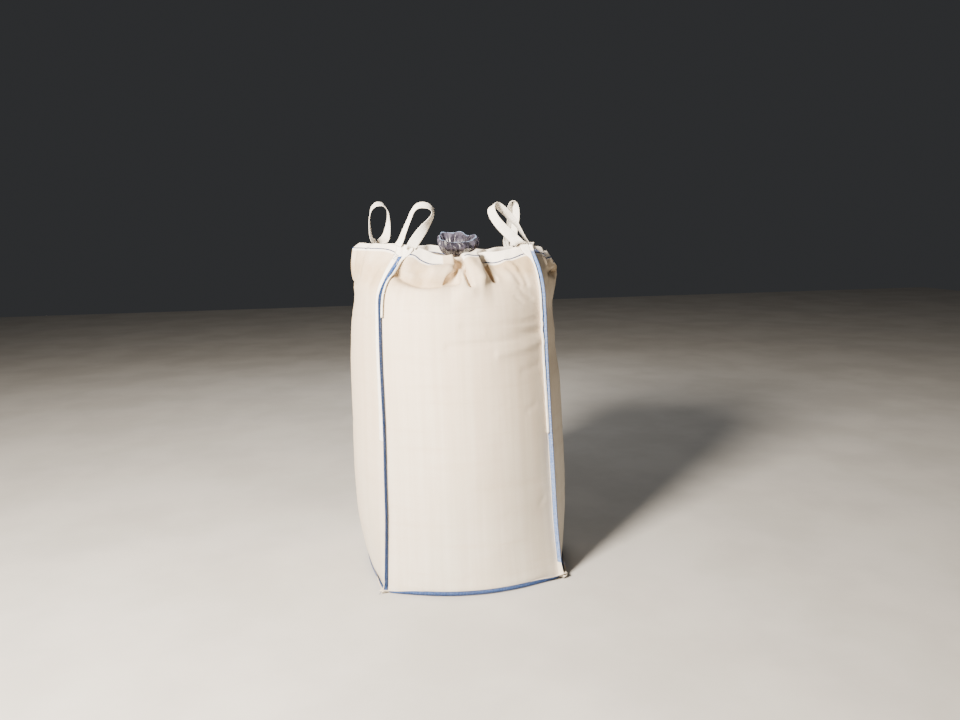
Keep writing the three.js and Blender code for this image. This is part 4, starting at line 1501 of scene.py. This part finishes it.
# A light's name, place, the height on the bag's axis that it faces, its size, watts and colour.
LIGHTS = (
    ("key", (-3.35, -3.6, 3.5), 0.9, 1.4, 1800, (1.0, 0.89, 0.755)),
    ("fill", (4.5, -2.0, 2.6), 0.9, 3.0, 12, (1.0, 0.95, 0.90)),
    ("back", (0.5, 4.6, 3.8), 1.0, 3.0, 80, (1.0, 0.97, 0.93)),
)
SKY_COLOUR, SKY_STRENGTH = (0.80, 0.83, 0.88, 1), 0.04
# The photograph's camera, in degrees, in metres from the bag's middle, and in pixels.
CAMERA_AROUND, CAMERA_TILT, CAMERA_ROLL = -7.5, 9.7, -1.0
CAMERA_AWAY, CAMERA_HEIGHT = 4.0, 1.72
PHOTO_WIDTH, FOCAL_LENGTH, BAG_MIDDLE = 960, 776, 457.5
SENSOR_WIDTH = 36      # millimetres


def make_stage():
    shape = bmesh.new()
    bmesh.ops.create_grid(shape, x_segments=1, y_segments=1, size=FLOOR_HALF)
    floor = in_scene("floor", mesh_of("floor", shape))
    paint = Paint("pale_floor", Roughness=0.85, Specular_IOR_Level=0.2)
    tone = paint.noise(paint.object_place(), 1.3, 5.0, 0.6)
    paint.set("Base Color", paint.mix(paint.ramp(tone, 0.35, 0.65), *FLOOR_TONES))
    floor.data.materials.append(paint.material)


def make_light(name, place, target_height, size, power, colour):
    lamp = bpy.data.lights.new(name, "AREA")
    lamp.shape = "DISK"
    lamp.size, lamp.energy, lamp.color = size, power, colour
    away = Vector(place) - Vector((0, 0, target_height))
    turn = away.to_track_quat("Z", "Y").to_matrix().to_4x4()
    in_scene(name, lamp).matrix_world = Matrix.Translation(Vector(place)) @ turn


def make_sky():
    world = bpy.data.worlds.new("studio")
    world.use_nodes = True
    background = world.node_tree.nodes["Background"]
    background.inputs["Color"].default_value = SKY_COLOUR
    background.inputs["Strength"].default_value = SKY_STRENGTH
    bpy.context.scene.world = world


def make_camera():
    """The photograph's view: from the left of straight ahead, a little above, looking down."""
    around = math.radians(CAMERA_AROUND)
    tilt, roll = math.radians(CAMERA_TILT), math.radians(CAMERA_ROLL)
    yaw = -math.atan((BAG_MIDDLE - PHOTO_WIDTH / 2) / FOCAL_LENGTH)
    ahead = Vector((-math.sin(around), math.cos(around), 0))
    side = Vector((math.cos(around), math.sin(around), 0))
    level = ahead * math.cos(yaw) + side * math.sin(yaw)
    right = side * math.cos(yaw) - ahead * math.sin(yaw)
    forward = level * math.cos(tilt) - Vector((0, 0, 1)) * math.sin(tilt)
    up = right.cross(forward)
    rolled = right * math.cos(roll) + up * math.sin(roll), up * math.cos(roll) - right * math.sin(roll)
    lens = bpy.data.cameras.new("camera")
    lens.lens = FOCAL_LENGTH / PHOTO_WIDTH * SENSOR_WIDTH
    lens.sensor_width = SENSOR_WIDTH
    lens.clip_end = 100
    camera = in_scene("camera", lens)
    place = ahead * -CAMERA_AWAY + Vector((0, 0, CAMERA_HEIGHT))
    camera.matrix_world = Matrix.Translation(place) @ Matrix((*rolled, -forward)).transposed().to_4x4()
    bpy.context.scene.camera = camera


make_stage()
for light in LIGHTS:
    make_light(*light)
make_sky()
make_camera()
